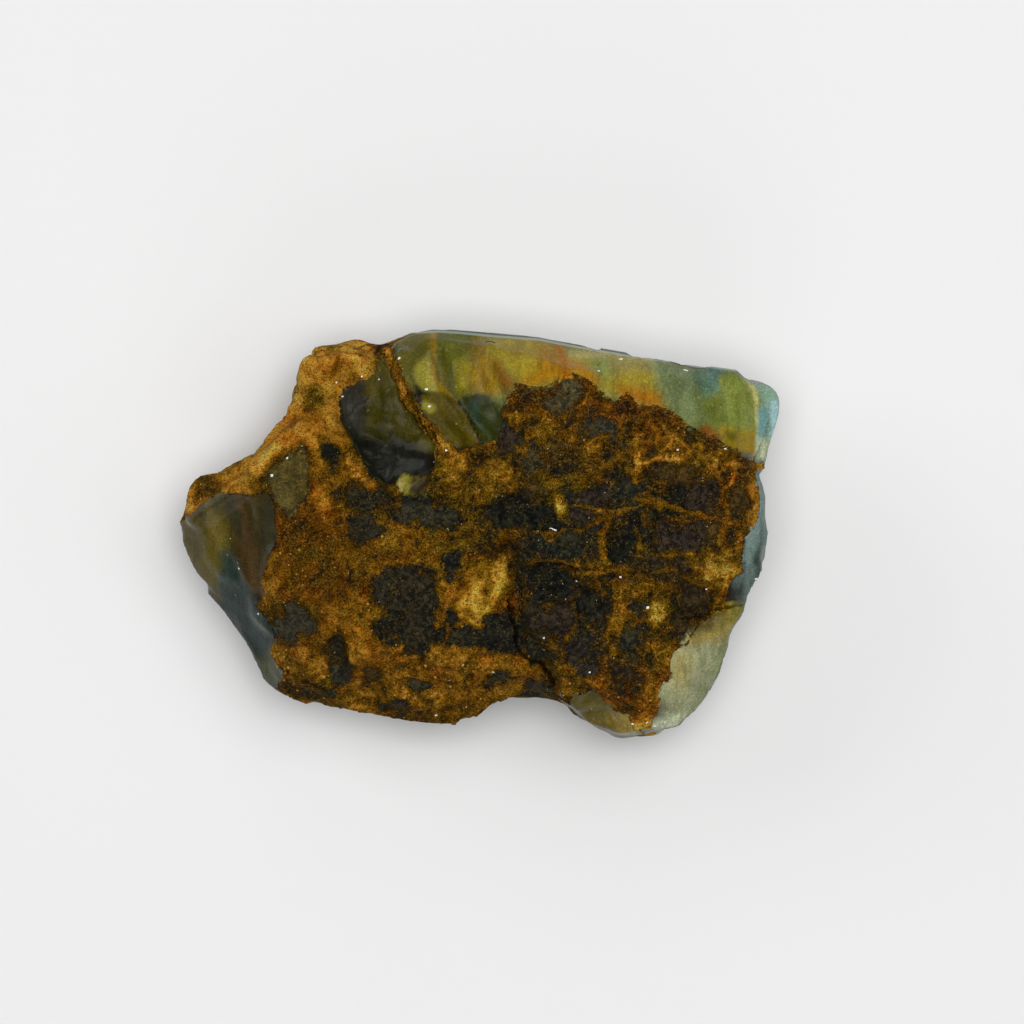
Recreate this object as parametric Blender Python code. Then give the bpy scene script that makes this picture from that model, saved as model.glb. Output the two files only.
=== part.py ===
"""A piece of raw fluorite, as it was broken from its vein.

It is one stone. Its upper face is the old wall of the vein, rough with an iron oxide crust that has grown
over blocky crystal. Round that face the stone is broken, in flat cleavages and shell-shaped hollows, and the
clear blue-green fluorite shows. It lies on a flat cleavage.

+X runs along the stone, from its blunt left end to the square right end. +Y runs from its notched front to its
straight back. The origin is the middle of its outline, on the face that it rests on. Lengths are in
millimetres until MM turns them into Blender's metres.
"""

import math
from collections import namedtuple

import bmesh
import bpy
import numpy as np
from mathutils import Matrix, Vector, noise

MM = 0.001

# The finished stone, between its furthest points.
LENGTH = 59.7
DEPTH = 40.8
HEIGHT = 22.5

# The block before anything is broken off: its width at each height, as a share of the full outline.
BLOCK_TOP = 26.0
SIDE_PROFILE = ((-1.0, 0.80), (2.0, 0.88), (6.0, 0.96), (10.0, 1.0), (15.0, 1.0), (20.0, 0.985), (BLOCK_TOP, 0.96))

# The stone's widest outline as seen from above, from the left end round the back, the right end and the front.
OUTLINE = (
    (-29.8, 0.4), (-29.1, 3.1), (-28.6, 4.9), (-27.7, 5.9), (-26.2, 6.6), (-24.8, 6.8), (-23.7, 6.8),
    (-22.3, 8.2), (-21.5, 9.6), (-20.2, 11.1), (-18.9, 12.1), (-18.4, 13.5), (-18.1, 15.5), (-17.3, 17.6),
    (-16.2, 18.6), (-14.0, 19.0), (-12.0, 19.3), (-10.8, 18.8), (-9.3, 19.1), (-7.7, 19.6), (-6.6, 20.1),
    (-5.0, 20.4), (-3.0, 20.4), (1.7, 20.1), (5.1, 19.7), (8.6, 19.2), (11.9, 18.5), (14.4, 17.9),
    (17.6, 17.4), (21.3, 16.9), (24.4, 16.6), (25.8, 16.2), (26.4, 15.4), (27.9, 15.1), (29.0, 14.6),
    (29.7, 13.7), (29.9, 12.4), (29.5, 10.6), (28.9, 9.0), (28.4, 7.5), (28.0, 6.2), (28.4, 4.6),
    (28.4, 2.9), (28.6, 0.9), (28.6, -1.1), (28.2, -3.2), (27.1, -5.5), (26.3, -7.1), (25.5, -8.7),
    (24.9, -10.2), (24.2, -13.1), (23.5, -15.3), (22.3, -17.0), (20.4, -18.6), (18.3, -19.8), (16.1, -20.4),
    (14.1, -20.2), (12.1, -19.7), (10.5, -18.8), (9.3, -17.9), (8.2, -17.0), (6.8, -16.6), (5.0, -16.5),
    (3.2, -16.4), (1.6, -17.0), (0.2, -18.0), (-1.2, -18.7), (-4.7, -19.0), (-8.4, -18.6), (-12.2, -17.9),
    (-16.0, -17.1), (-18.0, -16.7), (-19.7, -16.0), (-21.0, -15.1), (-21.9, -14.0), (-22.1, -12.8),
    (-23.2, -10.9), (-24.2, -9.7), (-25.2, -8.1), (-26.5, -6.3), (-28.2, -4.0), (-29.4, -1.7),
)  # fmt: skip

# A flat break. It faces azimuth, in degrees from +X towards +Y, and dips from level by dip: 90 is a wall, and
# more hangs over.
Facet = namedtuple("Facet", "name azimuth dip at")
FACETS = (
    Facet("vein wall, right", 265, 3, (8.0, 0.0, 21.6)),
    Facet("vein wall, left", 178, 9, (-6.0, 0.0, 21.0)),
    Facet("glassy back slope", 73, 26, (15.0, 11.2, 21.4)),
    Facet("glassy back slope, left", 104, 23, (-1.5, 9.5, 20.4)),
    Facet("back wall", 85, 93, (8.3, 19.1, 12.0)),
    Facet("back corner bevel", 14, 47, (27.2, 11.0, 18.2)),
    Facet("right bevel", 356, 64, (27.0, -1.0, 19.6)),
    Facet("front right slope", 317, 35, (19.6, -11.6, 18.6)),
    Facet("front right toe", 262, 47, (14.0, -16.2, 17.4)),
    Facet("front slope", 263, 33, (-8.0, -10.6, 19.6)),
    Facet("front edge", 266, 66, (-8.0, -17.0, 15.6)),
    Facet("teal slope", 212, 55, (-21.6, -7.0, 15.8)),
    Facet("olive slope", 193, 27, (-19.2, 0.0, 18.4)),
    Facet("ochre slope", 125, 50, (-18.6, 8.8, 16.8)),
    Facet("ochre shoulder", 119, 36, (-12.0, 13.0, 18.2)),
    Facet("back step", 86, 58, (8.0, 18.4, 15.6)),
    Facet("back overhang", 97, 112, (-2.0, 19.6, 7.4)),
    Facet("back overhang, right", 78, 124, (16.0, 17.4, 6.2)),
    Facet("back right overhang", 48, 116, (26.6, 14.6, 9.0)),
    Facet("right overhang", 352, 109, (28.2, 0.0, 9.6)),
    Facet("right overhang, low", 8, 134, (27.6, 4.0, 4.6)),
    Facet("front right overhang", 318, 121, (21.0, -18.4, 9.5)),
    Facet("front overhang, right", 286, 128, (12.0, -18.8, 6.4)),
    Facet("front overhang", 264, 116, (-5.0, -18.6, 9.5)),
    Facet("front overhang, left", 238, 122, (-19.4, -16.0, 8.4)),
    Facet("teal overhang", 214, 128, (-25.2, -8.2, 8.0)),
    Facet("left overhang", 184, 128, (-29.6, 0.0, 8.8)),
    Facet("left overhang, high", 158, 112, (-28.4, 4.8, 8.8)),
    Facet("ochre overhang", 128, 122, (-21.0, 10.2, 8.0)),
    Facet("ochre corner overhang", 112, 108, (-15.4, 18.4, 7.4)),
)  # fmt: skip

# Bosses that stand out of the broken block. They are cubes with worn corners, as fluorite grows, turned in
# degrees about the upright.
Lump = namedtuple("Lump", "name centre radii turn")
LUMPS = (
    Lump("ochre corner", (-13.6, 14.6, 10.6), (4.2, 3.6, 6.0), 8),
    Lump("left knob", (-25.6, 3.2, 9.6), (3.2, 2.9, 4.4), 34),
    Lump("front boss", (-4.6, -15.0, 11.2), (5.6, 3.0, 5.0), 4),
    Lump("front boss, left", (-14.8, -13.0, 11.2), (4.8, 3.2, 5.0), -14),
    Lump("front right lobe", (16.6, -14.8, 10.8), (6.0, 4.6, 5.6), 24),
    Lump("left boss", (-17.4, -4.2, 14.4), (4.4, 5.0, 4.2), 12),
    Lump("back foot", (-3.6, 15.0, 3.6), (6.5, 3.4, 3.4), -6),
)
LUMP_SQUARENESS = 3.2

# Shell-shaped hollows, each the mark of a ball of this radius.
Hollow = namedtuple("Hollow", "name centre radius")
HOLLOWS = (
    Hollow("dark bowl", (-8.4, 11.4, 22.4), 5.6),
    Hollow("dark bowl's foot", (-8.9, 7.8, 22.2), 4.9),
    Hollow("bowl's pocket", (-10.9, 7.6, 19.2), 2.4),
    Hollow("waist", (-25.6, 13.6, 12.5), 7.4),
    Hollow("shoulder flake", (-10.9, 20.8, 16.0), 2.5),
    Hollow("front notch", (4.9, -21.8, 14.0), 6.0),
    Hollow("notch's roof", (4.6, -19.0, 18.0), 4.6),
    Hollow("olive flake", (-30.4, -6.0, 19.6), 8.2),
    Hollow("first petal", (-5.0, 17.6, 23.8), 6.4),
    Hollow("second petal", (-1.2, 16.4, 24.4), 6.6),
    Hollow("third petal", (0.9, 11.8, 25.6), 6.2),
    Hollow("toe flake", (11.6, -21.0, 18.6), 5.4),
    Hollow("back wall shell", (3.0, 28.5, 7.0), 11.2),
    Hollow("back wall shell, right", (17.5, 27.4, 9.5), 11.4),
    Hollow("right wall shell", (39.2, -1.5, 5.0), 11.6),
    Hollow("front wall shell", (-8.0, -32.2, 2.5), 14.4),
    Hollow("teal wall shell", (-32.0, -15.6, 4.0), 11.2),
)

# Long narrow forms on the upper face: cracks go down and veins stand up, with this height at their middle.
Seam = namedtuple("Seam", "name width height route")
SEAMS = (
    Seam("main crack", 1.9, -2.2,
         ((2.6, -1.0), (3.3, -2.8), (3.7, -5.1), (3.8, -7.8), (4.2, -10.6), (5.4, -12.1), (6.9, -15.0))),
    Seam("lobe crack", 1.4, -1.3, ((19.4, -8.7), (21.0, -8.2), (23.0, -8.1), (24.6, -7.5), (26.0, -7.1))),
    Seam("right crack", 1.3, -1.0, ((28.0, 7.1), (27.2, 7.4), (25.2, 6.9), (22.8, 7.6), (20.6, 9.1))),
    Seam("cross crack", 1.1, -0.6, ((5.6, 4.8), (8.6, 6.0), (11.4, 4.6), (14.0, 5.6), (17.0, 4.8))),
    Seam("long vein", 2.2, 1.5,
         ((-7.6, 17.2), (-6.6, 14.9), (-5.0, 12.2), (-3.7, 10.4), (-2.1, 8.9), (-1.1, 6.4), (-0.2, 3.2))),
    Seam("short vein", 2.2, 1.7, ((-14.8, 11.6), (-13.5, 9.5), (-12.4, 7.7), (-10.8, 5.4), (-9.4, 3.9))),
    Seam("ochre ridge", 2.8, 1.4, ((-14.2, 12.6), (-16.6, 9.8), (-20.0, 6.6), (-23.8, 4.2), (-27.4, 1.6))),
    Seam("first petal's edge", 1.8, 1.0, ((-4.0, 17.4), (-3.3, 14.8), (-1.6, 12.4), (0.4, 10.2), (1.7, 8.8))),
    Seam("second petal's edge", 1.7, 0.8, ((1.0, 17.8), (1.1, 15.0), (2.6, 12.6), (4.0, 10.2))),
    Seam("hook vein", 1.6, 0.7, ((13.8, 8.3), (15.2, 8.0), (16.2, 7.0), (16.4, 5.4), (14.8, 5.8))),
    Seam("right vein", 1.5, 0.6, ((11.0, 3.2), (14.6, 3.9), (18.4, 3.2), (22.4, 1.9), (25.0, 1.6))),
    Seam("left vein", 1.6, 0.6, ((-12.4, -2.4), (-8.2, -1.6), (-4.6, -3.4), (-1.6, -2.2), (1.6, -1.6))),
    Seam("front vein", 1.6, 0.6, ((-16.2, -9.2), (-11.4, -11.0), (-6.2, -11.8), (-1.6, -12.8), (2.8, -13.0))),
    Seam("lobe vein", 1.5, 0.7, ((9.6, -3.0), (12.4, -6.6), (15.6, -9.4), (16.4, -12.8), (15.6, -16.6))),
)  # fmt: skip

# Places where the crust has fallen off the upper face, down to flat crystal: the half length and half width of
# each, and its turn in degrees.
Window = namedtuple("Window", "name centre halves turn")
WINDOWS = (
    Window("great window", (-7.0, -7.0), (3.3, 3.1), 0),
    Window("window by the crack", (1.5, -10.1), (2.0, 1.8), 20),
    Window("window under the bowl", (-10.7, 1.2), (2.4, 1.7), -10),
    Window("back middle window", (4.4, 2.1), (2.1, 1.7), 0),
    Window("blue window", (5.0, 7.6), (1.4, 1.6), 0),
    Window("right middle window", (14.9, 0.2), (2.2, 2.0), 0),
    Window("window beyond the crack", (7.6, -4.8), (2.2, 1.7), 10),
    Window("front right window", (11.0, -7.2), (1.5, 1.7), 0),
    Window("low right window", (9.8, -12.0), (2.0, 1.3), -15),
    Window("far right window", (20.2, 3.4), (3.2, 1.2), -8),
    Window("right edge window", (20.6, -5.9), (1.8, 1.2), 20),
    Window("left window", (-18.4, -8.9), (2.2, 1.5), -5),
    Window("slot in the front slope", (-14.2, -12.7), (2.9, 1.0), 82),
    Window("yellow hollow", (0.4, -5.5), (3.4, 2.2), 65),
)
WINDOW_DEPTH = 0.95
WINDOW_SLOPE = 0.6

# Where the rough crust lies on the upper face. Outside it the stone is smooth crystal.
CRUST = (
    (-29.5, 2.5), (-24.5, 4.5), (-19.0, 5.0), (-17.5, 0.5), (-19.5, -4.0), (-20.0, -8.5), (-15.5, -8.0),
    (-17.0, -11.5), (-20.5, -13.0), (-20.0, -17.5), (-8.0, -20.5), (2.0, -19.5), (5.5, -15.5), (10.0, -15.5),
    (14.5, -16.5), (17.5, -19.5), (17.0, -15.5), (20.0, -11.5), (24.5, -7.5), (26.0, -3.0), (27.0, 3.5),
    (28.6, 7.2), (22.5, 9.0), (17.5, 11.5), (13.5, 14.0), (10.5, 14.5), (7.0, 13.0), (4.0, 12.0),
    (2.5, 8.5), (-2.0, 8.5), (-7.0, 18.0), (-9.0, 20.5), (-19.5, 19.5), (-21.0, 11.5), (-25.5, 8.5),
)  # fmt: skip
CRUST_FADE = 1.6
WALL_CRUST = 0.25
# The upright share of a normal from which a face counts fully as upper face, and a wall not at all.
UPPER_FACE_RISE = 0.62

# The relief worked into the surface, in millimetres: the size of a form, and how far it stands out or in.
BROAD_SWELL = (11.0, 0.40)
CRUST_BLOCKS = (3.6, 0.38)
CRUST_LUMPS = (2.2, 0.42)
GLASS_BLOCKS = (7.5, 0.12)
WALL_LEDGES = (8.5, 0.55)
# Blocks on the walls are this much flatter than they are long, and one block's edge steps down over this width.
WALL_FLATNESS = 2.2
STEP_WIDTH = 0.7
# Spreads the blocks over the noise that gives each its level. Another value gives another set of levels.
LEVEL_SCATTER = 7.3
LUMP_OCTAVES = 3
LUMP_FALLOFF = 0.6

# How finely the stone is worked, and the triangles that are kept of it.
OUTLINE_STEPS = 3
# The stone's widest line is drawn onto the outline in this many turns of the compass, evened out this often. It
# moves what lies further out than this share of the way from the middle.
OUTLINE_TURNS = 120
OUTLINE_EVENING = 2
STILL_SHARE = 0.55
REMESH_CELL = 0.50
WEAR_PASSES = 1
TRIANGLES = 9400
SHARP_EDGE = 48.0


def clear_scene():
    for thing in list(bpy.data.objects):
        bpy.data.objects.remove(thing)


def rounded(points, steps):
    """The closed line through these points with steps points on each stretch, by Catmull and Rom's rule."""
    line = []
    for i in range(len(points)):
        before, start, end, after = (Vector(points[(i + k) % len(points)]) for k in (-1, 0, 1, 2))
        for step in range(steps):
            t = step / steps
            line.append(
                0.5
                * (
                    2 * start
                    + (end - before) * t
                    + (2 * before - 5 * start + 4 * end - after) * t * t
                    + (3 * start - before - 3 * end + after) * t * t * t
                )
            )
    return line


def unbroken_block():
    """The outline carried up from foot to top, drawn in towards both as SIDE_PROFILE says."""
    bm = bmesh.new()
    line = rounded(OUTLINE, OUTLINE_STEPS)
    rings = []
    for height, share in SIDE_PROFILE:
        verts = [bm.verts.new((p.x * share, p.y * share, height)) for p in line]
        rings.append([bm.edges.new((a, b)) for a, b in zip(verts, verts[1:] + verts[:1])])
    for lower, upper in zip(rings, rings[1:]):
        bmesh.ops.bridge_loops(bm, edges=lower + upper)
    bmesh.ops.edgeloop_fill(bm, edges=rings[0])
    bmesh.ops.edgeloop_fill(bm, edges=rings[-1])
    bmesh.ops.recalc_face_normals(bm, faces=bm.faces)
    return bm


def facing(azimuth, dip):
    """The direction that a break of this azimuth and dip faces."""
    turn, lean = math.radians(azimuth), math.radians(dip)
    return Vector((math.sin(lean) * math.cos(turn), math.sin(lean) * math.sin(turn), math.cos(lean)))


def cut_flat(bm, at, direction):
    """Takes off what lies beyond the plane through at that faces direction, and closes the cut."""
    geometry = bm.verts[:] + bm.edges[:] + bm.faces[:]
    cut = bmesh.ops.bisect_plane(bm, geom=geometry, plane_co=at, plane_no=direction, clear_outer=True)
    edges = [piece for piece in cut["geom_cut"] if isinstance(piece, bmesh.types.BMEdge)]
    bmesh.ops.holes_fill(bm, edges=edges, sides=0)


def add_lump(bm, lump):
    """A worn cube set into the block. The remesh makes one surface of the two."""
    place = Matrix.Translation(lump.centre) @ Matrix.Rotation(math.radians(lump.turn), 4, "Z")
    size = Matrix.Diagonal((*lump.radii, 1.0))
    for vert in bmesh.ops.create_icosphere(bm, subdivisions=4, radius=1.0)["verts"]:
        spread = sum(abs(c) ** LUMP_SQUARENESS for c in vert.co) ** (1.0 / LUMP_SQUARENESS)
        vert.co = place @ size @ (vert.co / spread)


def with_modifier(mesh, kind, **settings):
    """The mesh as it is after one modifier with these settings."""
    carrier = bpy.data.objects.new("carrier", mesh)
    bpy.context.scene.collection.objects.link(carrier)
    modifier = carrier.modifiers.new(kind, kind)
    for name, value in settings.items():
        setattr(modifier, name, value)
    graph = bpy.context.evaluated_depsgraph_get()
    made = bpy.data.meshes.new_from_object(carrier.evaluated_get(graph))
    bpy.data.objects.remove(carrier)
    return made


def places(mesh):
    found = np.empty(len(mesh.vertices) * 3, np.float32)
    mesh.vertices.foreach_get("co", found)
    return found.reshape(-1, 3).astype(np.float64)


def normals(mesh):
    found = np.empty(len(mesh.vertices) * 3, np.float32)
    mesh.vertex_normals.foreach_get("vector", found)
    return found.reshape(-1, 3).astype(np.float64)


def move_to(mesh, points):
    mesh.vertices.foreach_set("co", points.astype(np.float32).ravel())
    mesh.update()


def pressed_out(points, hollow):
    """Points inside the hollow's ball pushed out to its surface, away from its centre."""
    away = points - np.array(hollow.centre)
    distance = np.linalg.norm(away, axis=1, keepdims=True)
    return np.where(distance < hollow.radius, np.array(hollow.centre) + away * hollow.radius / distance, points)


def distance_to_route(plan, route, closed=False):
    """How far each plan point lies from the line through the route's points."""
    stops = list(route) + ([route[0]] if closed else [])
    least = np.full(len(plan), np.inf)
    for start, end in zip(stops, stops[1:]):
        start, along = np.array(start), np.subtract(end, start)
        share = np.clip((plan - start) @ along / (along @ along), 0.0, 1.0)
        least = np.minimum(least, np.linalg.norm(plan - start - share[:, None] * along, axis=1))
    return least


def inside(plan, outline):
    """True for each plan point that lies within the closed outline."""
    within = np.zeros(len(plan), bool)
    x, y = plan[:, 0], plan[:, 1]
    for (ax, ay), (bx, by) in zip(outline, outline[1:] + outline[:1]):
        crosses = (ay > y) != (by > y)
        within ^= crosses & (x < ax + (y - ay) * (bx - ax) / (by - ay + 1e-12))
    return within


def upward(directions):
    """1 where the surface faces up, 0 where it is upright or hangs over."""
    return np.clip(directions[:, 2] / UPPER_FACE_RISE, 0.0, 1.0)


def crusted(points, directions):
    """How much crust each point of the surface carries, from 0 to 1. The walls and underside carry a little."""
    plan = points[:, :2]
    depth_in = distance_to_route(plan, CRUST, closed=True) * np.where(inside(plan, CRUST), 1.0, -1.0)
    on_top = np.clip(0.5 + depth_in / CRUST_FADE, 0.0, 1.0)
    up = upward(directions)
    return on_top * up + WALL_CRUST * (1.0 - up)


def ledge(point, size):
    """The level at this point of a crystal broken into blocks of this size, from -1 to 1, with sloping steps."""
    distances, blocks = noise.voronoi(point / size, distance_metric="CHEBYCHEV")
    nearest, next_nearest = (2.0 * noise.cell(block * LEVEL_SCATTER) - 1.0 for block in blocks[:2])
    share = 0.5 + 0.5 * min((distances[1] - distances[0]) * size / STEP_WIDTH, 1.0)
    return nearest * share + next_nearest * (1.0 - share)


def rough(points, crust, up):
    """How far the surface stands out at each point, for its blocks, lumps and broad swell."""
    rise = np.empty(len(points))
    for i, (place, share, lift) in enumerate(zip(points, crust, up)):
        place = Vector(place)
        swell = noise.noise(place / BROAD_SWELL[0]) * BROAD_SWELL[1]
        blocks = ledge(place, CRUST_BLOCKS[0]) * CRUST_BLOCKS[1]
        lumps = noise.fractal(place / CRUST_LUMPS[0], LUMP_FALLOFF, 2.0, LUMP_OCTAVES) * CRUST_LUMPS[1]
        glass = ledge(place, GLASS_BLOCKS[0]) * GLASS_BLOCKS[1]
        flat_place = Vector((place.x, place.y, place.z * WALL_FLATNESS))
        wall = ledge(flat_place, WALL_LEDGES[0]) * WALL_LEDGES[1] * (1.0 - lift)
        rise[i] = swell + wall + share * (blocks + lumps) + (1.0 - share) * glass
    return rise


def recessed(plan):
    """How far down the surface lies at each plan point for its windows, from 0 to 1 of their full depth."""
    depth = np.zeros(len(plan))
    for window in WINDOWS:
        turn = math.radians(window.turn)
        along = (plan - window.centre) @ (math.cos(turn), math.sin(turn))
        across = (plan - window.centre) @ (-math.sin(turn), math.cos(turn))
        reach = ((along / window.halves[0]) ** 4 + (across / window.halves[1]) ** 4) ** 0.25
        edge = (1.0 - reach) * min(window.halves) / WINDOW_SLOPE
        depth = np.maximum(depth, np.clip(0.5 + edge, 0.0, 1.0))
    return depth


def hollowed(mesh):
    points = places(mesh)
    for hollow in HOLLOWS:
        points = pressed_out(points, hollow)
    move_to(mesh, points)


def carved(mesh):
    """Roughness, windows and seams, worked into the surface along its normals."""
    points, directions = places(mesh), normals(mesh)
    up = upward(directions)
    crust = crusted(points, directions)
    depth = recessed(points[:, :2]) * up
    rise = rough(points, crust * (1.0 - depth), up) - WINDOW_DEPTH * depth
    for seam in SEAMS:
        share = np.clip(1.0 - distance_to_route(points[:, :2], seam.route) / (seam.width / 2), 0.0, 1.0)
        rise += seam.height * share * up
    move_to(mesh, points + directions * rise[:, None])


def reach_by_turn(plan, turns):
    """The furthest reach from the middle among the plan points in each turn of the compass."""
    turn = ((np.arctan2(plan[:, 1], plan[:, 0]) / (2 * math.pi)) % 1.0 * turns).astype(int) % turns
    reach = np.zeros(turns)
    np.maximum.at(reach, turn, np.linalg.norm(plan, axis=1))
    return reach


def drawn_to_outline(mesh):
    """Draws the stone's widest line onto the outline. The middle of the upper face stays as it is."""
    points = places(mesh)
    line = np.array([tuple(p) for p in rounded(OUTLINE, OUTLINE_STEPS * 16)])
    widest = reach_by_turn(points[:, :2], OUTLINE_TURNS)
    stretch = reach_by_turn(line, OUTLINE_TURNS) / widest
    for _ in range(OUTLINE_EVENING):
        stretch = (np.roll(stretch, 1) + 2.0 * stretch + np.roll(stretch, -1)) / 4.0
    middles = (np.arange(OUTLINE_TURNS) + 0.5) * 2 * math.pi / OUTLINE_TURNS
    angle = np.arctan2(points[:, 1], points[:, 0]) % (2 * math.pi)
    share_out = np.linalg.norm(points[:, :2], axis=1) / np.interp(angle, middles, widest, period=2 * math.pi)
    moved = np.clip((share_out - STILL_SHARE) / (1.0 - STILL_SHARE), 0.0, 1.0)
    points[:, :2] *= (1.0 + (np.interp(angle, middles, stretch, period=2 * math.pi) - 1.0) * moved)[:, None]
    move_to(mesh, points)


def loose_pieces(bm):
    """The mesh's separate pieces, each a set of vertices, smallest first."""
    pieces = []
    unseen = set(bm.verts)
    while unseen:
        front = [unseen.pop()]
        piece = set(front)
        while front:
            for edge in front.pop().link_edges:
                for vert in edge.verts:
                    if vert in unseen:
                        unseen.remove(vert)
                        piece.add(vert)
                        front.append(vert)
        pieces.append(piece)
    return sorted(pieces, key=len)


def fitted(mesh):
    """Cuts the resting face flat, drops the scraps shut inside the stone or cut loose, and brings the stone to
    its size, with the origin in the middle of its foot."""
    bm = bmesh.new()
    bm.from_mesh(mesh)
    cut_flat(bm, (0.0, 0.0, 0.0), (0.0, 0.0, -1.0))
    for scrap in loose_pieces(bm)[:-1]:
        bmesh.ops.delete(bm, geom=list(scrap), context="VERTS")
    bmesh.ops.triangulate(bm, faces=bm.faces)
    corners = np.array([v.co for v in bm.verts])
    low, high = corners.min(axis=0), corners.max(axis=0)
    middle = Vector((*(low + high)[:2] / 2, low[2]))
    scale = Vector(np.array((LENGTH, DEPTH, HEIGHT)) / (high - low)) * MM
    for vert in bm.verts:
        vert.co = (vert.co - middle) * scale
    bm.to_mesh(mesh)
    bm.free()


def stone_material():
    material = bpy.data.materials.new("stained fluorite")
    material.use_nodes = True
    shader = material.node_tree.nodes["Principled BSDF"]
    shader.inputs["Base Color"].default_value = (0.16, 0.11, 0.045, 1.0)
    shader.inputs["Roughness"].default_value = 0.45
    shader.inputs["Metallic"].default_value = 0.0
    return material


def build_stone():
    bm = unbroken_block()
    for facet in FACETS:
        cut_flat(bm, facet.at, facing(facet.azimuth, facet.dip))
    for lump in LUMPS:
        add_lump(bm, lump)
    block = bpy.data.meshes.new("block")
    bm.to_mesh(block)
    bm.free()
    stone = with_modifier(block, "REMESH", mode="VOXEL", voxel_size=REMESH_CELL)
    hollowed(stone)
    stone = with_modifier(stone, "REMESH", mode="VOXEL", voxel_size=REMESH_CELL)
    carved(stone)
    stone = with_modifier(stone, "SMOOTH", factor=0.5, iterations=WEAR_PASSES)
    drawn_to_outline(stone)
    stone.calc_loop_triangles()
    stone = with_modifier(stone, "DECIMATE", ratio=TRIANGLES / len(stone.loop_triangles))
    fitted(stone)
    stone.shade_smooth()
    stone.set_sharp_from_angle(angle=math.radians(SHARP_EDGE))
    stone.materials.append(stone_material())
    stone.name = "raw_fluorite"
    bpy.context.scene.collection.objects.link(bpy.data.objects.new("raw_fluorite", stone))


clear_scene()
build_stone()
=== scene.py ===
import math

import bmesh
import bpy
import numpy as np
from mathutils import Matrix, Vector, noise
from mathutils.bvhtree import BVHTree


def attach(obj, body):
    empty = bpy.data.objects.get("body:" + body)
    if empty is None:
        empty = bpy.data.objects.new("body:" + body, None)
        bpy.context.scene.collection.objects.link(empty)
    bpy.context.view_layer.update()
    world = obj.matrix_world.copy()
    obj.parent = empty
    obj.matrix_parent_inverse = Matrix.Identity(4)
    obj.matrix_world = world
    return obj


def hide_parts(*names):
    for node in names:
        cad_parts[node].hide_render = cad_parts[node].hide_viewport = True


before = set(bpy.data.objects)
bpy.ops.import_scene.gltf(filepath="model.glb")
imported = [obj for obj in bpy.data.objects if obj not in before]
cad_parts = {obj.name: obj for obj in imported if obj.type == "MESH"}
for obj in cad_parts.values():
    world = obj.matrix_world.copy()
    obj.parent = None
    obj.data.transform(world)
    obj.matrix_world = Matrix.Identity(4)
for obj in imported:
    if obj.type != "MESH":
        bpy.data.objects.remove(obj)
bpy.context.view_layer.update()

# ----------------------------------------------------------------------------
# The stone. One broken piece of fluorite. Its upper face is the wall of the vein it grew on, and carries a
# skin of iron oxide, thick and orange at the front and thin over dark crystal on the right. Everywhere else
# the crystal is bare, where the stone split along its cleavages.
# ----------------------------------------------------------------------------

MM = 0.001

# How much brighter clear crystal is than it looks, since part of the light passes on through it.
THROUGH_LOSS = 1.30

# The blank: the frame's own solid, worked over at this cell so that it can carry fine relief.
BLANK_CELL = 0.30
BLANK_SMOOTHING = 4

# The light that the surface's own gloss adds to every colour.
GLOSS_VEIL = 0.003


def srgb(red, green, blue):
    """The base colour of a surface that is to be seen in this colour, from 0 to 255 each."""
    shares = [value / 255.0 for value in (red, green, blue)]
    plain = [s / 12.92 if s <= 0.04045 else ((s + 0.055) / 1.055) ** 2.4 for s in shares]
    return tuple(max(value - GLOSS_VEIL, 0.0005) for value in plain)


def placed(name, data):
    """A new object that holds this mesh, lamp or camera, put into the scene."""
    made = bpy.data.objects.new(name, data)
    bpy.context.scene.collection.objects.link(made)
    return made


def worked(carrier):
    """The carrier's mesh with its modifiers worked into it. The carrier is removed."""
    graph = bpy.context.evaluated_depsgraph_get()
    mesh = bpy.data.meshes.new_from_object(carrier.evaluated_get(graph))
    bpy.data.objects.remove(carrier)
    return mesh


def blank_of(node, name):
    """A finely meshed copy of a frame node, in millimetres."""
    bm = bmesh.new()
    bm.from_mesh(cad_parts[node].data)
    bmesh.ops.remove_doubles(bm, verts=bm.verts, dist=1e-6)
    bmesh.ops.scale(bm, vec=(1 / MM, 1 / MM, 1 / MM), verts=bm.verts)
    mesh = bpy.data.meshes.new(name)
    bm.to_mesh(mesh)
    bm.free()
    carrier = placed(name, mesh)
    remesh = carrier.modifiers.new("fine cells", "REMESH")
    remesh.mode = "VOXEL"
    remesh.voxel_size = BLANK_CELL
    smooth = carrier.modifiers.new("worn facets", "SMOOTH")
    smooth.factor = 0.5
    smooth.iterations = BLANK_SMOOTHING
    return worked(carrier)


def per_vertex(layer, kind):
    """One row of three numbers for each vertex: its place, or its normal."""
    found = np.empty(len(layer) * 3, np.float32)
    layer.foreach_get(kind, found)
    return found.reshape(-1, 3).astype(np.float64)


def soft_step(values, low, high):
    """0 below low, 1 above high, and smooth between."""
    share = np.clip((values - low) / (high - low), 0.0, 1.0)
    return share * share * (3.0 - 2.0 * share)


def grain(points, size, octaves=1, seed=0.0):
    """Soft noise from about -1 to 1, with forms of this size."""
    shift = Vector((seed * 13.7, seed * -7.1, seed * 3.3))
    return np.array([noise.fractal(Vector(p) / size + shift, 0.7, 2.0, octaves) for p in points])


def cells(points, size, seed=0.0, metric="DISTANCE"):
    """For cells of this size: how far a cell's middle and its edge are, and a level of its own."""
    shift = Vector((seed * 5.9, seed * 11.3, seed * -2.7))
    near, edge, level = (np.empty(len(points)) for _ in range(3))
    for i, point in enumerate(points):
        distances, middles = noise.voronoi(Vector(point) / size + shift, distance_metric=metric)
        near[i] = distances[0] * size
        edge[i] = (distances[1] - distances[0]) * size
        level[i] = 2.0 * noise.cell(middles[0] * 9.1) - 1.0
    return near, edge, level


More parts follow.
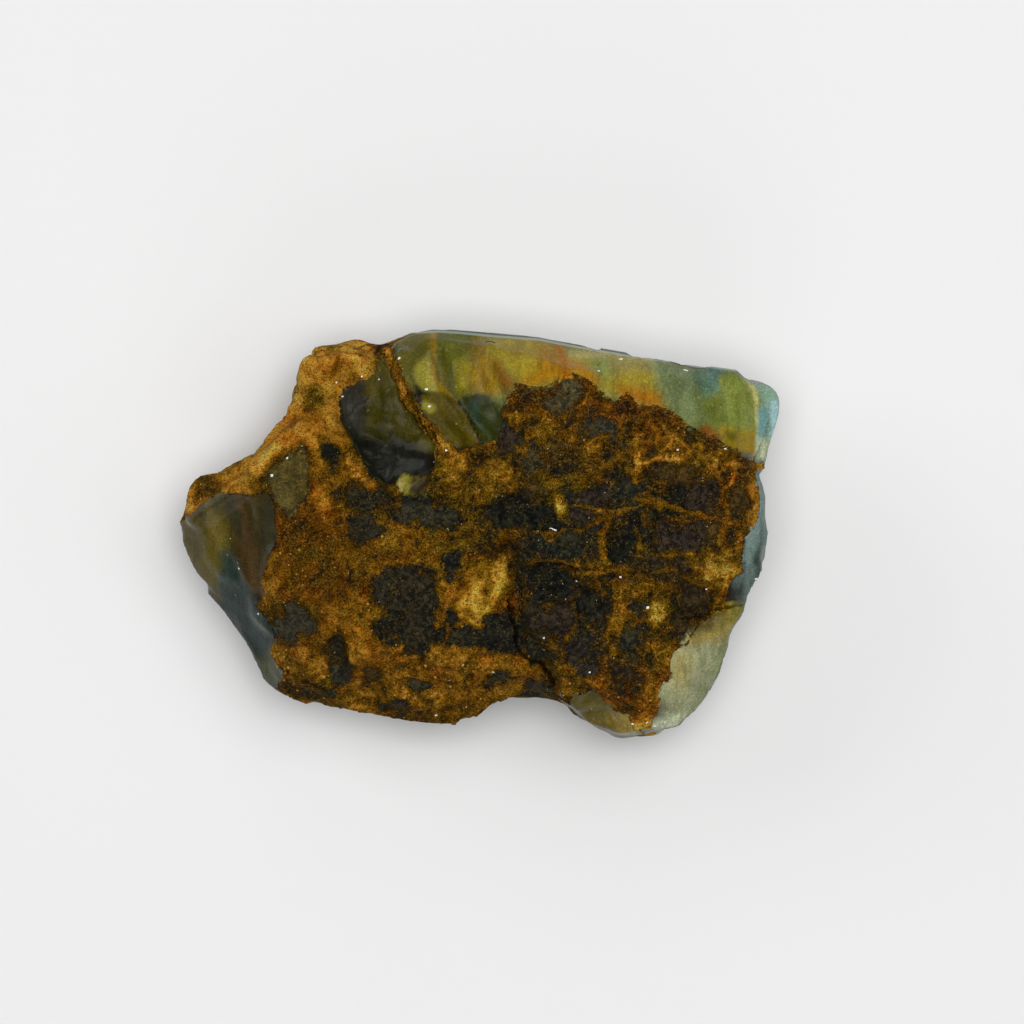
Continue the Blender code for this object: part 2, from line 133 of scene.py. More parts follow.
def from_line(plan, route):
    """How far each plan point lies from the line through the route's points."""
    least = np.full(len(plan), np.inf)
    for start, end in zip(route, route[1:]):
        start, along = np.array(start, float), np.subtract(end, start)
        share = np.clip((plan - start) @ along / (along @ along), 0.0, 1.0)
        least = np.minimum(least, np.linalg.norm(plan - start - share[:, None] * along, axis=1))
    return least


def across_line(plan, route):
    """How far behind a route from left to right each plan point lies, and less than 0 in front of it."""
    height = np.interp(plan[:, 0], [p[0] for p in route], [p[1] for p in route])
    return plan[:, 1] - height


def into_area(plan, outline):
    """How far inside the closed outline each plan point lies, and less than 0 outside it."""
    within = np.zeros(len(plan), bool)
    x, y = plan[:, 0], plan[:, 1]
    closed = list(outline) + [outline[0]]
    for (ax, ay), (bx, by) in zip(closed, closed[1:]):
        crosses = (ay > y) != (by > y)
        within ^= crosses & (x < ax + (y - ay) * (bx - ax) / (by - ay + 1e-12))
    return from_line(plan, closed) * np.where(within, 1.0, -1.0)


def into_patch(plan, centre, halves, turn=0.0):
    """How far inside a squarish patch, turned in degrees, each plan point lies, and less than 0 outside."""
    lean = math.radians(turn)
    along = (plan - centre) @ (math.cos(lean), math.sin(lean))
    across = (plan - centre) @ (-math.sin(lean), math.cos(lean))
    reach = (np.abs(along / halves[0]) ** 2.3 + np.abs(across / halves[1]) ** 2.3) ** (1 / 2.3)
    return (1.0 - reach) * min(halves)


# The parts of the upper face where the crystal is bare, as closed outlines seen from above.
BARE_AREAS = {
    "back slope": ((-8.6, 18.6), (-8, 20.6), (0, 21), (30.5, 17), (31, 10), (28.6, 7), (26.8, 7.1),
        (25, 8.2), (23.6, 9.4), (21.7, 9.8), (20, 11.2), (17.6, 12.8), (16, 12.6), (14.6, 14), (13.2, 13),
        (12.2, 14.2), (11, 15), (9.4, 15.8), (8, 15.4), (6.6, 14.4), (5.2, 14.6), (3.8, 15), (3, 13.4),
        (2.1, 12.2), (2.3, 10.6), (1.9, 9.2), (-0.4, 8.6), (-2.2, 8.6), (-3.8, 9.4), (-5.8, 11.9),
        (-7, 14.2), (-8, 16.4)),
    "right edge": ((27.3, 6.2), (27.7, 3.4), (27.5, 1.6), (26.2, -0.2), (25.8, -1.8), (25.8, -3.6),
        (24.9, -5.4), (24.4, -7), (26.2, -7.3), (30, -6), (30.5, 6)),
    "front right lobe": ((27, -6.6), (24.8, -7.4), (23.2, -7.9), (21.6, -8.9), (20.2, -10.8), (18.9, -12.4),
        (19, -13.8), (18, -15), (17.8, -17), (17.2, -18.4), (17.6, -21.5), (26, -19), (28.5, -8)),
    "toe": ((9.4, -15.8), (11.2, -15.5), (12.9, -16.9), (14.6, -18), (15.4, -19.4), (15.8, -21.5),
        (8, -18)),
    "left facets": ((-31, 0.8), (-27.6, 2.8), (-25.6, 4), (-24, 4.1), (-20.8, 4), (-20.1, 2.6),
        (-20.1, -0.6), (-20.8, -2.4), (-21.4, -3.8), (-21.1, -5.9), (-22, -6.8), (-21.4, -7.8),
        (-20, -10.6), (-20.9, -11.8), (-19.6, -13.8), (-20.2, -15.6), (-22.5, -18), (-31, -6)),
    "bowl": ((-9.9, 17.2), (-9.2, 18.2), (-8.6, 17.2), (-8, 16), (-7.2, 14), (-6, 11.8), (-4.8, 9.8),
        (-4, 8.2), (-4.4, 6.4), (-5.6, 5.8), (-8, 5.8), (-8.8, 4.6), (-10.2, 5.2), (-11.3, 6.8),
        (-12.4, 8.8), (-13.3, 10.6), (-13.7, 12), (-13.7, 13.6), (-13, 14.6), (-11.6, 15), (-10.4, 16)),
    "yellow chip": ((-8.2, 5.4), (-7.6, 5.9), (-5.4, 5.6), (-5, 4.6), (-5.5, 3.9), (-7.7, 4)),
}

# The windows: places where the crust is off and dark crystal shows. Each has its middle, half length, half
# width, the colour of the crystal in it, and its turn in degrees if it has one.
WINDOWS = (
    ((-18.4, 5), 2.3, 2.9, "moss brown", 10), ((-7.2, -5.8), 3.2, 2.6, "smoke"),
    ((-6.2, -9.6), 2.6, 1.7, "smoke", -14), ((-3.2, -4.2), 1, 0.6, "coal"),
    ((-8.8, -9.2), 1.6, 1.6, "coal"), ((-3.2, -9.2), 1, 1.5, "coal"), ((-0.6, -10.4), 2.2, 1.2, "smoke", 8),
    ((2.2, -9.8), 1.7, 2, "coal"), ((-2.8, -2.3), 1.1, 0.9, "coal"), ((-11.8, 4), 1.7, 1.2, "smoke"),
    ((-11.4, 0.8), 1.9, 1.6, "smoke", 8), ((-5.2, 2), 2.3, 1.2, "slate"),
    ((-14.2, 7.8), 0.7, 1.6, "ink", 28), ((-6.4, 3.6), 1, 0.7, "coal"), ((3.4, 2), 2.5, 1.7, "coal"),
    ((6, 1.4), 1.8, 2.1, "ink", 10), ((8.4, -1.6), 2.9, 1.4, "night"), ((6.7, -4.6), 2.2, 1.7, "ink", -8),
    ((5.2, -9.2), 0.9, 3, "smoke"), ((7.8, -8.4), 2.1, 1.2, "plum"), ((5.8, -11.6), 1.4, 1.5, "slate"),
    ((10.3, -12), 2.7, 1.9, "violet", -8), ((11.4, -7.1), 1.5, 1.7, "coal"), ((14.6, -0.4), 2.2, 2, "ink"),
    ((10.8, -0.4), 1.4, 1.1, "coal"), ((18, -2.8), 2.6, 1.2, "umber", -6),
    ((21.2, -0.6), 2.4, 1.3, "plum", -6), ((18, -0.4), 1.3, 1.5, "plum"),
    ((21.4, -6.3), 1.9, 1.6, "umber", 10), ((19.8, -9.4), 1.6, 1.1, "umber", 30),
    ((14.9, -11), 1.1, 1.7, "slate"), ((14.2, -13.2), 0.9, 0.7, "umber"), ((15.4, -7.2), 0.7, 0.9, "mist"),
    ((17, 6.8), 0.9, 1.9, "umber"), ((14.2, 6.2), 0.8, 1, "smoke"), ((14.8, 4.1), 2.6, 1, "night", 4),
    ((19.4, 3.6), 2.2, 1.2, "ink", 4), ((22.4, 3.8), 1.6, 1.8, "plum"), ((12.4, 10.2), 1.6, 0.9, "mist"),
    ((19.8, 5.8), 2, 0.8, "bark"), ((20.2, 8.4), 0.9, 0.6, "umber"), ((25.4, 3.2), 1.1, 1.3, "bark"),
    ((11.3, 2.9), 2.2, 1.2, "plum"), ((2.6, 9.6), 0.9, 1.8, "plum"), ((4.9, 8), 1.3, 2.3, "mist"),
    ((8.3, 13.1), 1, 2, "pale slate", 5), ((11.2, 10.2), 0.9, 1, "mist"),
    ((-18.8, -8.9), 2.6, 1.3, "mist", -6), ((-14.1, -11.2), 0.7, 1.6, "slate", -6),
    ((-13.9, -13.8), 1.2, 1.5, "slate", -6), ((-15.2, -15.4), 0.9, 0.6, "night", 10),
    ((-5.8, -14.7), 0.9, 0.6, "slate"), ((1.8, -14.2), 1.3, 0.6, "slate", 8),
    ((-10.6, -14.2), 0.8, 0.8, "bark", 20), ((6.2, -15.6), 1.2, 0.7, "smoke"),
    ((-8.2, -17.3), 1.5, 0.5, "violet", -5), ((5.6, 4.8), 1, 0.8, "bark"), ((23.6, 0.4), 0.8, 1.3, "bark"),
    ((7.4, 8.6), 0.9, 0.8, "bark"),
)

# Where the iron oxide is only a film over dark crystal, as a closed outline.
THIN_CRUST = (
    (1.8, 1), (2.4, 8), (3.4, 12.6), (8, 14.6), (12, 13.2), (16, 11.6), (20, 9.6), (24.6, 7.6), (27, 4),
    (26, -1), (24.6, -5.6), (20.4, -9.2), (17.8, -12.6), (16.4, -15.6), (11, -15), (5.6, -13), (4, -8),
    (3, -2),
)

# Raised veins of clay and iron oxide: half width, height, thickness of the iron oxide, and route.
VEINS = (
    (0.48, 0.26, 0.85, ((-9.3, 18.2), (-8.3, 16.4), (-7.4, 14.4), (-6.2, 12.2), (-4.8, 10.2), (-3.2, 8.8),
        (-1.8, 7.6), (-1.2, 6.2))),
    (0.5, 0.3, 0.85, ((-14.6, 12.6), (-14.9, 10.4), (-13.6, 8.9), (-12.6, 7), (-11.8, 5.8), (-10.4, 4.9))),
    (0.42, 0.2, 0.8, ((13.2, 7.4), (14, 8.2), (15.6, 8.7), (15.7, 6.8), (15.4, 5.2))),
    (0.24, 0.12, 0.7, ((8.8, 3.2), (11.4, 2.4), (13.6, 2), (15.6, 2.8), (17.2, 3.4))),
    (0.3, 0.16, 0.78, ((15.4, 3.4), (18, 3.2), (20.2, 2.2), (22, 1.8), (24.2, 1.4))),
    (0.22, 0.12, 0.66, ((17.2, 3), (18.4, 1.6), (20.4, 1.2), (22, 1.6))),
    (0.24, 0.12, 0.66, ((5.4, 0.2), (8, 0.2), (10.4, 0.6), (12.4, 1.6))),
    (0.34, 0.16, 0.76, ((12.6, 1.6), (12.1, 0.2), (12.1, -1.6), (12.5, -2.8))),
    (0.26, 0.12, 0.66, ((9.4, -4.2), (11.8, -3.6), (14.2, -3.4), (16.4, -3.6), (18.6, -3.4), (20.6, -4.4),
        (22, -5))),
    (0.3, 0.14, 0.74, ((24, 4.6), (24.4, 2.4), (24.2, 0.8), (23.8, -0.8))),
    (0.34, 0.14, 0.74, ((25.6, 0), (25.4, -2.2), (25, -4), (23.8, -5.8), (23.4, -7.2))),
    (0.2, 0.1, 0.6, ((15.4, 0.8), (15.9, -1.4), (17.6, -2), (20.6, -2), (22.8, -2.2))),
    (0.18, 0.1, 0.7, ((-3.2, -8.6), (-3, -9.8), (-3.4, -11))),
    (0.24, 0.12, 0.62, ((3.6, 12.6), (4, 10.6), (6.4, 10.2), (6.8, 7), (6.2, 5))),
    (0.26, 0.14, 0.82, ((14.4, 9), (16.4, 9), (18.4, 9.6), (20.6, 8.4), (22.4, 7.4), (24.6, 6.8),
        (27.6, 6.6))),
    (0.24, 0.14, 0.86, ((16.4, 7), (18.2, 7.4), (19.6, 7.2), (21.4, 8.8), (22.6, 8.2))),
    (0.2, 0.12, 0.8, ((22.8, 7.4), (23.4, 5.6), (24.2, 4.6), (25, 5.2), (25.2, 6.6))),
    (0.22, 0.12, 0.66, ((17.6, 12), (18, 10.4), (19.2, 9.4), (19, 8))),
    (0.22, 0.1, 0.56, ((9.2, -6.4), (9.6, -8.8), (8.6, -10.2), (8.2, -12.8))),
    (0.26, 0.12, 0.7, ((13.2, -4.4), (13.3, -6.6), (13, -8.6), (12.6, -10.2), (13.2, -12.2))),
    (0.22, 0.1, 0.6, ((4.2, -2.4), (6.8, -2.6), (9.4, -3), (12.6, -3))),
)

# Cracks: half width, depth, and route.
CRACKS = (
    (0.34, 0.34, ((3, -6.6), (3.4, -7.6), (3.3, -8.6), (3.8, -9.6), (3.6, -10.6), (4.2, -11.8),
        (5.2, -12.5), (6.4, -12.8), (7, -14), (7.4, -14.8))),
    (0.2, 0.25, ((19.6, -8.3), (21.2, -8.1), (22.8, -7.8), (24.4, -7.3), (26.4, -7))),
    (0.2, 0.2, ((-5, 10.7), (-3.8, 8.9))), (0.28, 0.2, ((-2, 13.2), (-1, 11.8), (-0.5, 10.4), (0, 9))),
    (0.26, 0.1, ((-12.4, 18.4), (-11, 18.8))), (0.28, 0.12, ((-10.4, 17.9), (-9.8, 18.7), (-8.9, 19))),
    (0.24, 0.12, ((-20, -13.2), (-17.6, -14.4), (-15.4, -15.4))),
)

# The sharp upper edge of the back wall, where the last thin flake split off the back slope.
BACK_EDGE = (
    (-5.6, 20), (-4, 20.1), (6, 19.25), (15, 17.6), (25.6, 16.2), (30, 16),
)

# The crystal's own colours, as they show in daylight.
GLASS = {
    "pale green": (112, 120, 66), "sea green": (110, 122, 79), "teal green": (86, 112, 88),
    "blue green": (78, 108, 100), "block green": (120, 130, 58), "celadon": (150, 152, 116),
    "cream": (168, 154, 84), "lens": (138, 130, 46), "lime": (98, 106, 38), "honey": (146, 128, 38),
    "amber": (152, 108, 8), "orange": (152, 94, 6), "rust glass": (122, 80, 14),
    "ochre glass": (142, 118, 24), "brown glass": (124, 78, 20), "ice": (106, 148, 144),
    # ice white highlight is pale crystal with a painted highlight on it.
    "ice green": (134, 166, 142), "ice white highlight": (152, 190, 192), "bottle": (86, 80, 24),
    "green olive": (84, 86, 26), "olive": (80, 69, 10), "moss": (86, 76, 20), "deep green": (50, 56, 22),
    "deep teal": (50, 66, 50), "grey olive": (80, 70, 24), "brown olive": (61, 51, 28),
    "blue slate": (34, 46, 42), "night": (34, 36, 30), "ink": (26, 27, 24), "coal": (31, 31, 26),
    "smoke": (38, 36, 28), "slate": (43, 42, 33), "umber": (46, 38, 26), "plum": (42, 36, 31),
    "violet": (40, 37, 33), "mist": (51, 49, 39), "pale slate": (66, 60, 40), "bark": (59, 46, 24),
    "moss brown": (77, 68, 35), "tan": (134, 105, 8), "smoky brown": (86, 70, 22), "petal": (122, 114, 30),
    "rim yellow": (180, 172, 100), "ice cream": (186, 196, 162), "bowl olive": (72, 64, 16),
    "bowl green": (62, 58, 18), "facet olive": (74, 66, 24), "toe olive": (96, 82, 28),
    "edge green": (116, 136, 130), "streak": (64, 51, 26), "facet dark": (52, 50, 34),
    "facet rust": (74, 58, 36), "toe grain": (142, 122, 60), "facet straw": (104, 90, 42),
    "lobe cream": (160, 150, 96), "lobe tan": (150, 132, 66), "facet grey": (68, 63, 42),
    "teal slate": (46, 59, 52), "tail green": (66, 69, 45),
}

# How those colours lie in the bare areas, laid over each other in turn: colour, middle, half length, half
# width, how far the edge fades, and the turn in degrees if there is one.
TINTS = (
    ("pale green", (14, 15), 18, 5, 2, -8), ("edge green", (28, -0.4), 2.4, 7.6, 1),
    ("blue slate", (27.6, -3), 0.5, 3, 0.8, -10), ("lens", (24.4, -8.2), 2.6, 0.9, 0.7, 10),
    ("celadon", (22, -14), 5, 4.6, 1.4, 50), ("sea green", (24.6, -13), 1, 3.6, 1.2, -18),
    ("lobe tan", (22.6, -9.9), 2.6, 0.9, 0.8, 10), ("smoky brown", (23, -8.5), 2, 0.7, 0.6, 10),
    ("ice cream", (18.8, -18.8), 1.8, 1, 0.8, 30), ("lobe cream", (19.8, -13.6), 1, 1.8, 0.8),
    ("toe olive", (12.4, -17.8), 4, 2.8, 0.8, -30), ("moss", (11.2, -16.8), 1.8, 1.4, 0.8, -30),
    ("toe grain", (14.9, -18.9), 2, 0.8, 0.6, -20), ("facet olive", (-27, -1), 4, 5, 1, 20),
    ("moss", (-26.2, -3.2), 1.4, 2.8, 0.9, 12), ("brown olive", (-22, 1), 2.6, 4, 0.9, 8),
    ("facet grey", (-26.6, 3.2), 3, 0.9, 0.6, 35), ("streak", (-23.2, 0.2), 1, 3.6, 0.7, 8),
    ("brown olive", (-21, -0.8), 0.7, 3.2, 0.5, 6), ("facet straw", (-26.2, 0), 0.7, 2.6, 0.6, 8),
    ("streak", (-22.6, -3.4), 1.1, 2.8, 0.6, 22), ("facet dark", (-20.8, 0.6), 0.7, 3.4, 0.4, 4),
    ("facet rust", (-23.4, 0.8), 0.45, 4.2, 0.4, 14), ("facet dark", (-24.4, 2), 0.35, 2.2, 0.3, 10),
    ("facet rust", (-21.8, -4.6), 0.4, 2, 0.3, 20), ("facet grey", (-22.4, 2.4), 0.4, 1.8, 0.3, 10),
    ("teal slate", (-24.4, -6), 1.3, 4.4, 0.5, 12), ("blue slate", (-22.8, -8.8), 1.8, 4, 0.6, 28),
    ("tail green", (-20.9, -13.6), 1.4, 1.8, 0.8, 20), ("grey olive", (-29, 1), 1, 1.6, 0.6, 30),
    ("teal slate", (-20.6, -8.7), 1.6, 1.4, 0.6, -6), ("mist", (-18.4, -8.9), 2.4, 1.4, 0.5, -6),
    ("ink", (-9.4, 10.6), 5.2, 5.6, 0.8), ("bowl olive", (-10, 15.8), 2.2, 2.8, 0.8, -10),
    ("slate", (-12.4, 12.4), 1, 2.6, 0.5), ("bowl green", (-9.2, 12), 1.8, 2.6, 0.9, -20),
    ("bowl olive", (-7.2, 10.8), 1.3, 2.2, 0.8, 20), ("bottle", (-5.2, 9.6), 1.1, 1.5, 0.6, 30),
    ("coal", (-8.6, 7.2), 3.6, 1.8, 0.6), ("bottle", (-6.2, 4.8), 1.9, 1, 0.2, -4),
    ("lens", (-7, 4.9), 0.9, 0.9, 0.4), ("cream", (-7.5, 4.9), 0.5, 0.7, 0.3),
    ("bark", (-5.7, 4.8), 0.9, 0.8, 0.25),
)

# The cleavage facets of the bare areas, as closed outlines: colour, and how far the edge fades.
FACETS = (
    ("bottle", 0.25, ((-8.2, 19.4), (-6.8, 20.4), (-4.7, 20.4), (-4.8, 18.2), (-5.2, 17.4), (-6.2, 16.7),
        (-6.7, 15.6), (-6.3, 14), (-7.3, 14.8), (-8, 16.2), (-8.2, 17.8))),
    ("green olive", 0.4, ((-4.2, 20.3), (0.2, 19.9), (-0.6, 18.4), (-1.6, 17.4), (-2.5, 17), (-3, 16),
        (-2.8, 13.4), (-3.5, 14.3), (-4.2, 15.9), (-4.3, 18.4))),
    ("lens", 0.3, ((-6.3, 16.7), (-5.5, 17.4), (-4.8, 18.2), (-4.7, 16.4), (-4.2, 15), (-3.4, 14),
        (-4.5, 14.1), (-5.5, 14.1), (-6.3, 14.9), (-6.5, 15.9))),
    ("tan", 0.25, ((-4.8, 20.3), (-4.2, 20.3), (-4.2, 18.2), (-4.3, 16.8), (-4, 15.4), (-3.1, 14.3),
        (-2.2, 13.3), (-3, 13.3), (-4, 14.3), (-4.5, 15.4), (-4.8, 16.8))),
    ("bottle", 0.3, ((-3.9, 16.8), (-3, 16.8), (-3, 15.2), (-2.6, 13.4), (-3.4, 14.4), (-4, 15.6))),
    ("petal", 0.3, ((-2.5, 17.1), (-1.4, 17.6), (-0.9, 16.4), (-0.9, 14.9), (-1.1, 14), (-2, 13.5),
        (-2.5, 14.4), (-2.5, 15.9))),
    ("honey", 1, ((0.7, 19.6), (4, 19.6), (6.8, 18.9), (8.2, 18.2), (9.1, 16.2), (9.4, 15), (6.5, 14.8),
        (5, 14.4), (3.5, 15.1), (2.5, 16.2), (1.6, 17.2), (0.8, 18.2))),
    ("tan", 0.9, ((-0.1, 19.6), (0.8, 18.4), (1.4, 17.1), (2.1, 15.4), (2.2, 13.9), (1.1, 13.5),
        (-0.8, 13.8), (-1.1, 15.4), (-0.9, 17.2), (-0.7, 18.6))),
    ("amber", 1.1, ((5.8, 18.6), (8.1, 18.2), (8.9, 16.2), (9.2, 15.1), (6.8, 14.8), (5, 14.4), (4, 15),
        (5.7, 16.2))),
    ("rust glass", 0.6, ((1.4, 17.2), (2, 16.9), (3.1, 15.6), (3.9, 14.6), (2.6, 14), (1.9, 15.4))),
    ("orange", 0.3, ((7.2, 19.1), (8.3, 18.5), (8.8, 17.4), (9.4, 15.4), (8.2, 15.2), (8.2, 16.8),
        (7.7, 18.2))),
    ("cream", 0.6, ((8.6, 18.4), (12.1, 18.2), (16.1, 17.6), (17.6, 16.9), (15.1, 16.9), (12.1, 17.1),
        (10.1, 16.9), (8.8, 17.5))),
    ("amber", 0.7, ((8.8, 17.3), (10.7, 16.9), (12.2, 15.4), (12.3, 14.7), (10.3, 14.8), (9.4, 15.7))),
    ("block green", 0.9, ((10.6, 16.9), (12.1, 17.2), (13.3, 16.8), (13.3, 15.2), (12.4, 14.9),
        (11.8, 16))),
    ("honey", 1.1, ((13.2, 17.1), (16.1, 16.8), (17.2, 16.2), (17.9, 13.9), (18.1, 12.6), (16.1, 12.8),
        (14.1, 13.4), (12.3, 14.2), (12.2, 15), (13.2, 15.6))),
    ("sea green", 0.9, ((17.1, 17.2), (21.2, 17), (21.4, 13.4), (22.1, 11.2), (20.6, 11.4), (19.2, 12.2),
        (18.2, 13.2), (17.6, 15.2))),
    ("orange", 0.9, ((13.8, 14.6), (16.1, 14.2), (17.6, 13.8), (18.1, 12.6), (16.1, 12.8), (14.1, 13.4))),
    ("teal green", 0.8, ((21.1, 17), (23.9, 16.6), (23.8, 14.2), (23.2, 13.2), (22.1, 13.2), (21.2, 14.8))),
    ("blue green", 0.7, ((22.6, 16.6), (24.1, 16.5), (23.6, 14.8), (22.9, 15))),
    ("lime", 0.7, ((22.1, 13.2), (23.8, 14.1), (24.2, 12.8), (24.6, 11.4), (23.4, 10.3), (22.4, 10.8),
        (22.1, 12.2))),
    ("block green", 0.2, ((23.6, 15.6), (24.9, 15.9), (26.6, 15.1), (27.6, 14.4), (27.6, 10), (25.6, 9.9),
        (24.2, 10.6), (24.6, 11.8), (24.1, 13.6))),
    ("rim yellow", 0.25, ((26.4, 15.1), (27.6, 14.5), (27.8, 10.4), (27.6, 7.8), (27.2, 7.8), (27.4, 10.4),
        (27.1, 13.9))),
    ("ochre glass", 0.5, ((23.4, 10.3), (24.2, 10.8), (25.6, 10.2), (27.4, 10.3), (27.4, 7.6), (25.9, 8),
        (24.6, 8.5), (23.9, 8.9))),
    ("green olive", 0.4, ((24.2, 10.3), (25.4, 10), (25.4, 9.2), (24.6, 9.3))),
    ("brown glass", 0.2, ((20.9, 9.8), (22.4, 10.9), (23.2, 10.3), (24.1, 8.5), (22.1, 8.5), (20.8, 8.8))),
    ("ice green", 0.3, ((26.6, 15.3), (28.9, 15.2), (29.8, 14.4), (30.1, 13.2), (29.9, 11), (29.1, 9.2),
        (28.6, 7.6), (27.4, 7.6), (27.6, 10.4), (27.8, 13.2), (27.4, 14.4))),
    ("ice", 0.35, ((27.6, 12.4), (28.6, 12.6), (28.9, 11.4), (28.4, 9.8), (27.6, 9.6))),
    # Pale crystal at the right rim, with a painted highlight on it.
    ("ice white highlight", 0.35, ((28.9, 13.2), (30.1, 13.2), (29.9, 11), (29.1, 9.2), (28.6, 9.4), (28.9, 11.4))),
    ("ice cream", 0.5, ((27.6, 9.4), (28.9, 9.4), (28.6, 7.4), (27.4, 7.4))),
    ("olive", 0.2, ((-5.7, 13.6), (-4, 14.2), (-2.5, 13.4), (-1.9, 13), (-0.8, 11.4), (0.1, 9.2),
        (-0.2, 8.7), (-2.5, 8.7), (-4, 9.6), (-5, 10.9), (-5.5, 12.4))),
    ("lens", 0.2, ((-5.5, 13.1), (-4.5, 12.9), (-4.2, 12.3), (-4.8, 12), (-5.5, 12.4))),
    ("deep green", 0.2, ((-1.6, 13.4), (-0.5, 13.8), (1.1, 13.7), (1.9, 11.9), (2.2, 10.6), (1.8, 8.6),
        (0.2, 8.8), (-0.5, 10.4), (-1.2, 12.2))),
    ("deep teal", 0.4, ((-1.1, 13), (-0.1, 13.4), (0.1, 12), (0.5, 10.4), (-0.2, 11), (-0.9, 12.2))),
)

# How thick the iron oxide lies: 0 is none, 0.3 a brown film, 0.6 orange, 0.85 ochre and above 1 pale yellow
# clay. Then the middle, half length, half width, how far the edge fades, and the turn in degrees.
USUAL_CRUST = 0.60
IRON = (
    (0.27, (13, -1.1), 12.5, 9.5, 1.6), (0.36, (10.5, 12.6), 9, 2.2, 0.8, -12),
    (1, (-15, 15.6), 4.4, 4.6, 0.8), (0.98, (-21.7, 8.8), 8.5, 2.2, 0.6, 38),
    (0.9, (-16, 10.4), 2.4, 4, 0.8), (0.66, (-15.2, 16.8), 1.5, 1.2, 0.7),
    (0.56, (-16.3, 13.4), 0.9, 1.2, 0.5), (0.15, (-11.6, 18.5), 0.8, 0.2, 0.2, 15),
    (0.2, (-9.9, 18.4), 0.8, 0.8, 0.4), (0.84, (-25.6, 5.2), 4.4, 2, 0.6, 20),
    (0.48, (-26.9, 4.7), 1.2, 1.4, 0.6), (0.96, (-24.7, 5.9), 0.9, 0.6, 0.4),
    (0.52, (-16.8, 0.4), 3.8, 3.2, 0.9), (0.76, (-15.2, 3.6), 1.8, 1.1, 0.6),
    (0.5, (-16.2, -1.9), 1.6, 0.7, 0.6), (0.76, (-20.8, -5.2), 0.8, 1.1, 0.5),
    (0.5, (-14.8, -5.4), 3.6, 1.4, 0.8), (0.7, (-13, -8.8), 3.2, 2.4, 0.9),
    (0.78, (-18, -12.8), 2.9, 1.7, 0.6), (0.84, (-11.8, -13.4), 1.7, 2.8, 0.6),
    (0.68, (-5.4, -13.8), 6.2, 3, 0.8), (0.58, (-3, -17.8), 7, 1.2, 0.7),
    (0.46, (-17.6, -15.8), 2.6, 1, 0.6, -20), (0.56, (-5, 0.4), 3.6, 2.6, 0.8),
    (0.5, (-2.4, 5), 2.4, 2.8, 0.9), (0.82, (-2.9, -6.4), 0.8, 1.9, 0.5),
    (0.72, (0.2, -5.2), 3.4, 2.2, 0.6, 58), (0.84, (-2.8, -5.9), 0.8, 1.5, 0.4),
    (0.92, (-0.9, -4.4), 0.7, 1.2, 0.4, -20), (0.8, (-2.2, -7), 0.9, 1.3, 0.5),
    (0.7, (2.4, -5.4), 0.4, 1.6, 0.4), (0.58, (2.9, -6.4), 0.7, 2.2, 0.5), (0.54, (12, 7.9), 4, 1.5, 0.9),
    (0.62, (24.4, 8.4), 3, 1.6, 0.7, -25), (0.42, (24.4, 4), 2, 2.4, 0.7),
    (0.64, (23.4, -3.4), 2.4, 2.2, 0.6), (0.92, (23.2, -3.3), 1.5, 1.2, 0.5),
    (0.78, (17.4, -7.2), 1.1, 1.5, 0.6), (0.5, (16.7, -5), 2.8, 1.1, 0.6),
    (0.62, (14.3, -7.8), 1.5, 1.8, 0.7), (0.46, (14.6, -15.9), 3.6, 2.6, 0.8, -30),
    (0.66, (17.6, -12.8), 1.2, 2, 0.7), (1.1, (16.6, -18.8), 1.8, 1.2, 0.5, 20),
    (0.66, (17, -16.4), 1.2, 1.6, 0.6), (0.76, (13, -16.3), 1.2, 0.7, 0.5, -30),
    (0.6, (15, -4.6), 1.6, 0.9, 0.5), (0.62, (15.4, 13.2), 1.6, 0.8, 0.6, -20),
    (0.74, (19.1, 11.5), 1.4, 0.7, 0.5, -25), (1.04, (27.2, 4.2), 1, 2.6, 0.5),
    (0.52, (3, -0.6), 1.2, 1.2, 0.6), (0.42, (1.1, 7.4), 1.2, 1.2, 0.6), (0.66, (-0.9, 3.2), 1.2, 1.2, 0.6),
    (0.42, (-8.9, -2.6), 1.4, 1, 0.6), (0.88, (-12.9, 15.2), 1.2, 1.4, 0.6),
    (1.1, (-12.2, 18.4), 1.5, 0.7, 0.5), (1, (-21, 8.2), 3.4, 1.2, 0.7, 38),
    (0.95, (-16.5, 16.9), 2, 1.7, 0.7), (1.04, (-28.7, 3.3), 0.9, 1.4, 0.4),
    (0.62, (10.4, -14.6), 2.4, 1, 0.6), (0.68, (8.6, 5.3), 3.4, 0.8, 0.6, 4),
    (0.96, (8, 2.8), 0.6, 0.9, 0.4), (0.95, (14.5, 6.6), 0.3, 0.5, 0.2), (0.36, (-4.2, 5.2), 1, 1, 0.5),
    (0.6, (19.8, -14), 1, 1.2, 0.5), (0.7, (7, 10.6), 0.6, 1, 0.4),
)

# The face of lemon clay in the middle, as a closed outline, and the thinner marks on it.
LEMON_CLAY = 1.02
LEMON_FACE = (
    (1.9, -2.1), (2.4, -2), (2.9, -2.9), (2.5, -4.6), (2.1, -6), (1.4, -7), (0.8, -8.6), (0, -9.2),
    (-1, -8.6), (-2.1, -8.2), (-2.3, -7.1), (-1.3, -5.8), (-0.3, -4.6), (0.9, -3.8),
)
LEMON_MARKS = (
    (0.52, (0.75, -5.4), 0.5, 0.5, 0.3), (0.66, (1, -4.3), 0.25, 0.9, 0.2, -10),
    (0.7, (-1, -7.6), 0.7, 0.3, 0.25, -10),
)

# How much of the mottling is left where the iron oxide lies as smooth clay, in the same way.
CALM = (
    (0.6, (-16, -3), 5.6, 9, 1.4), (0.5, (-18, 11), 11, 6, 1, 40), (0.55, (-11.8, -12.6), 2, 3.6, 0.8),
    (0.7, (0.4, -5.6), 3.6, 2.2, 0.6, 58),
)

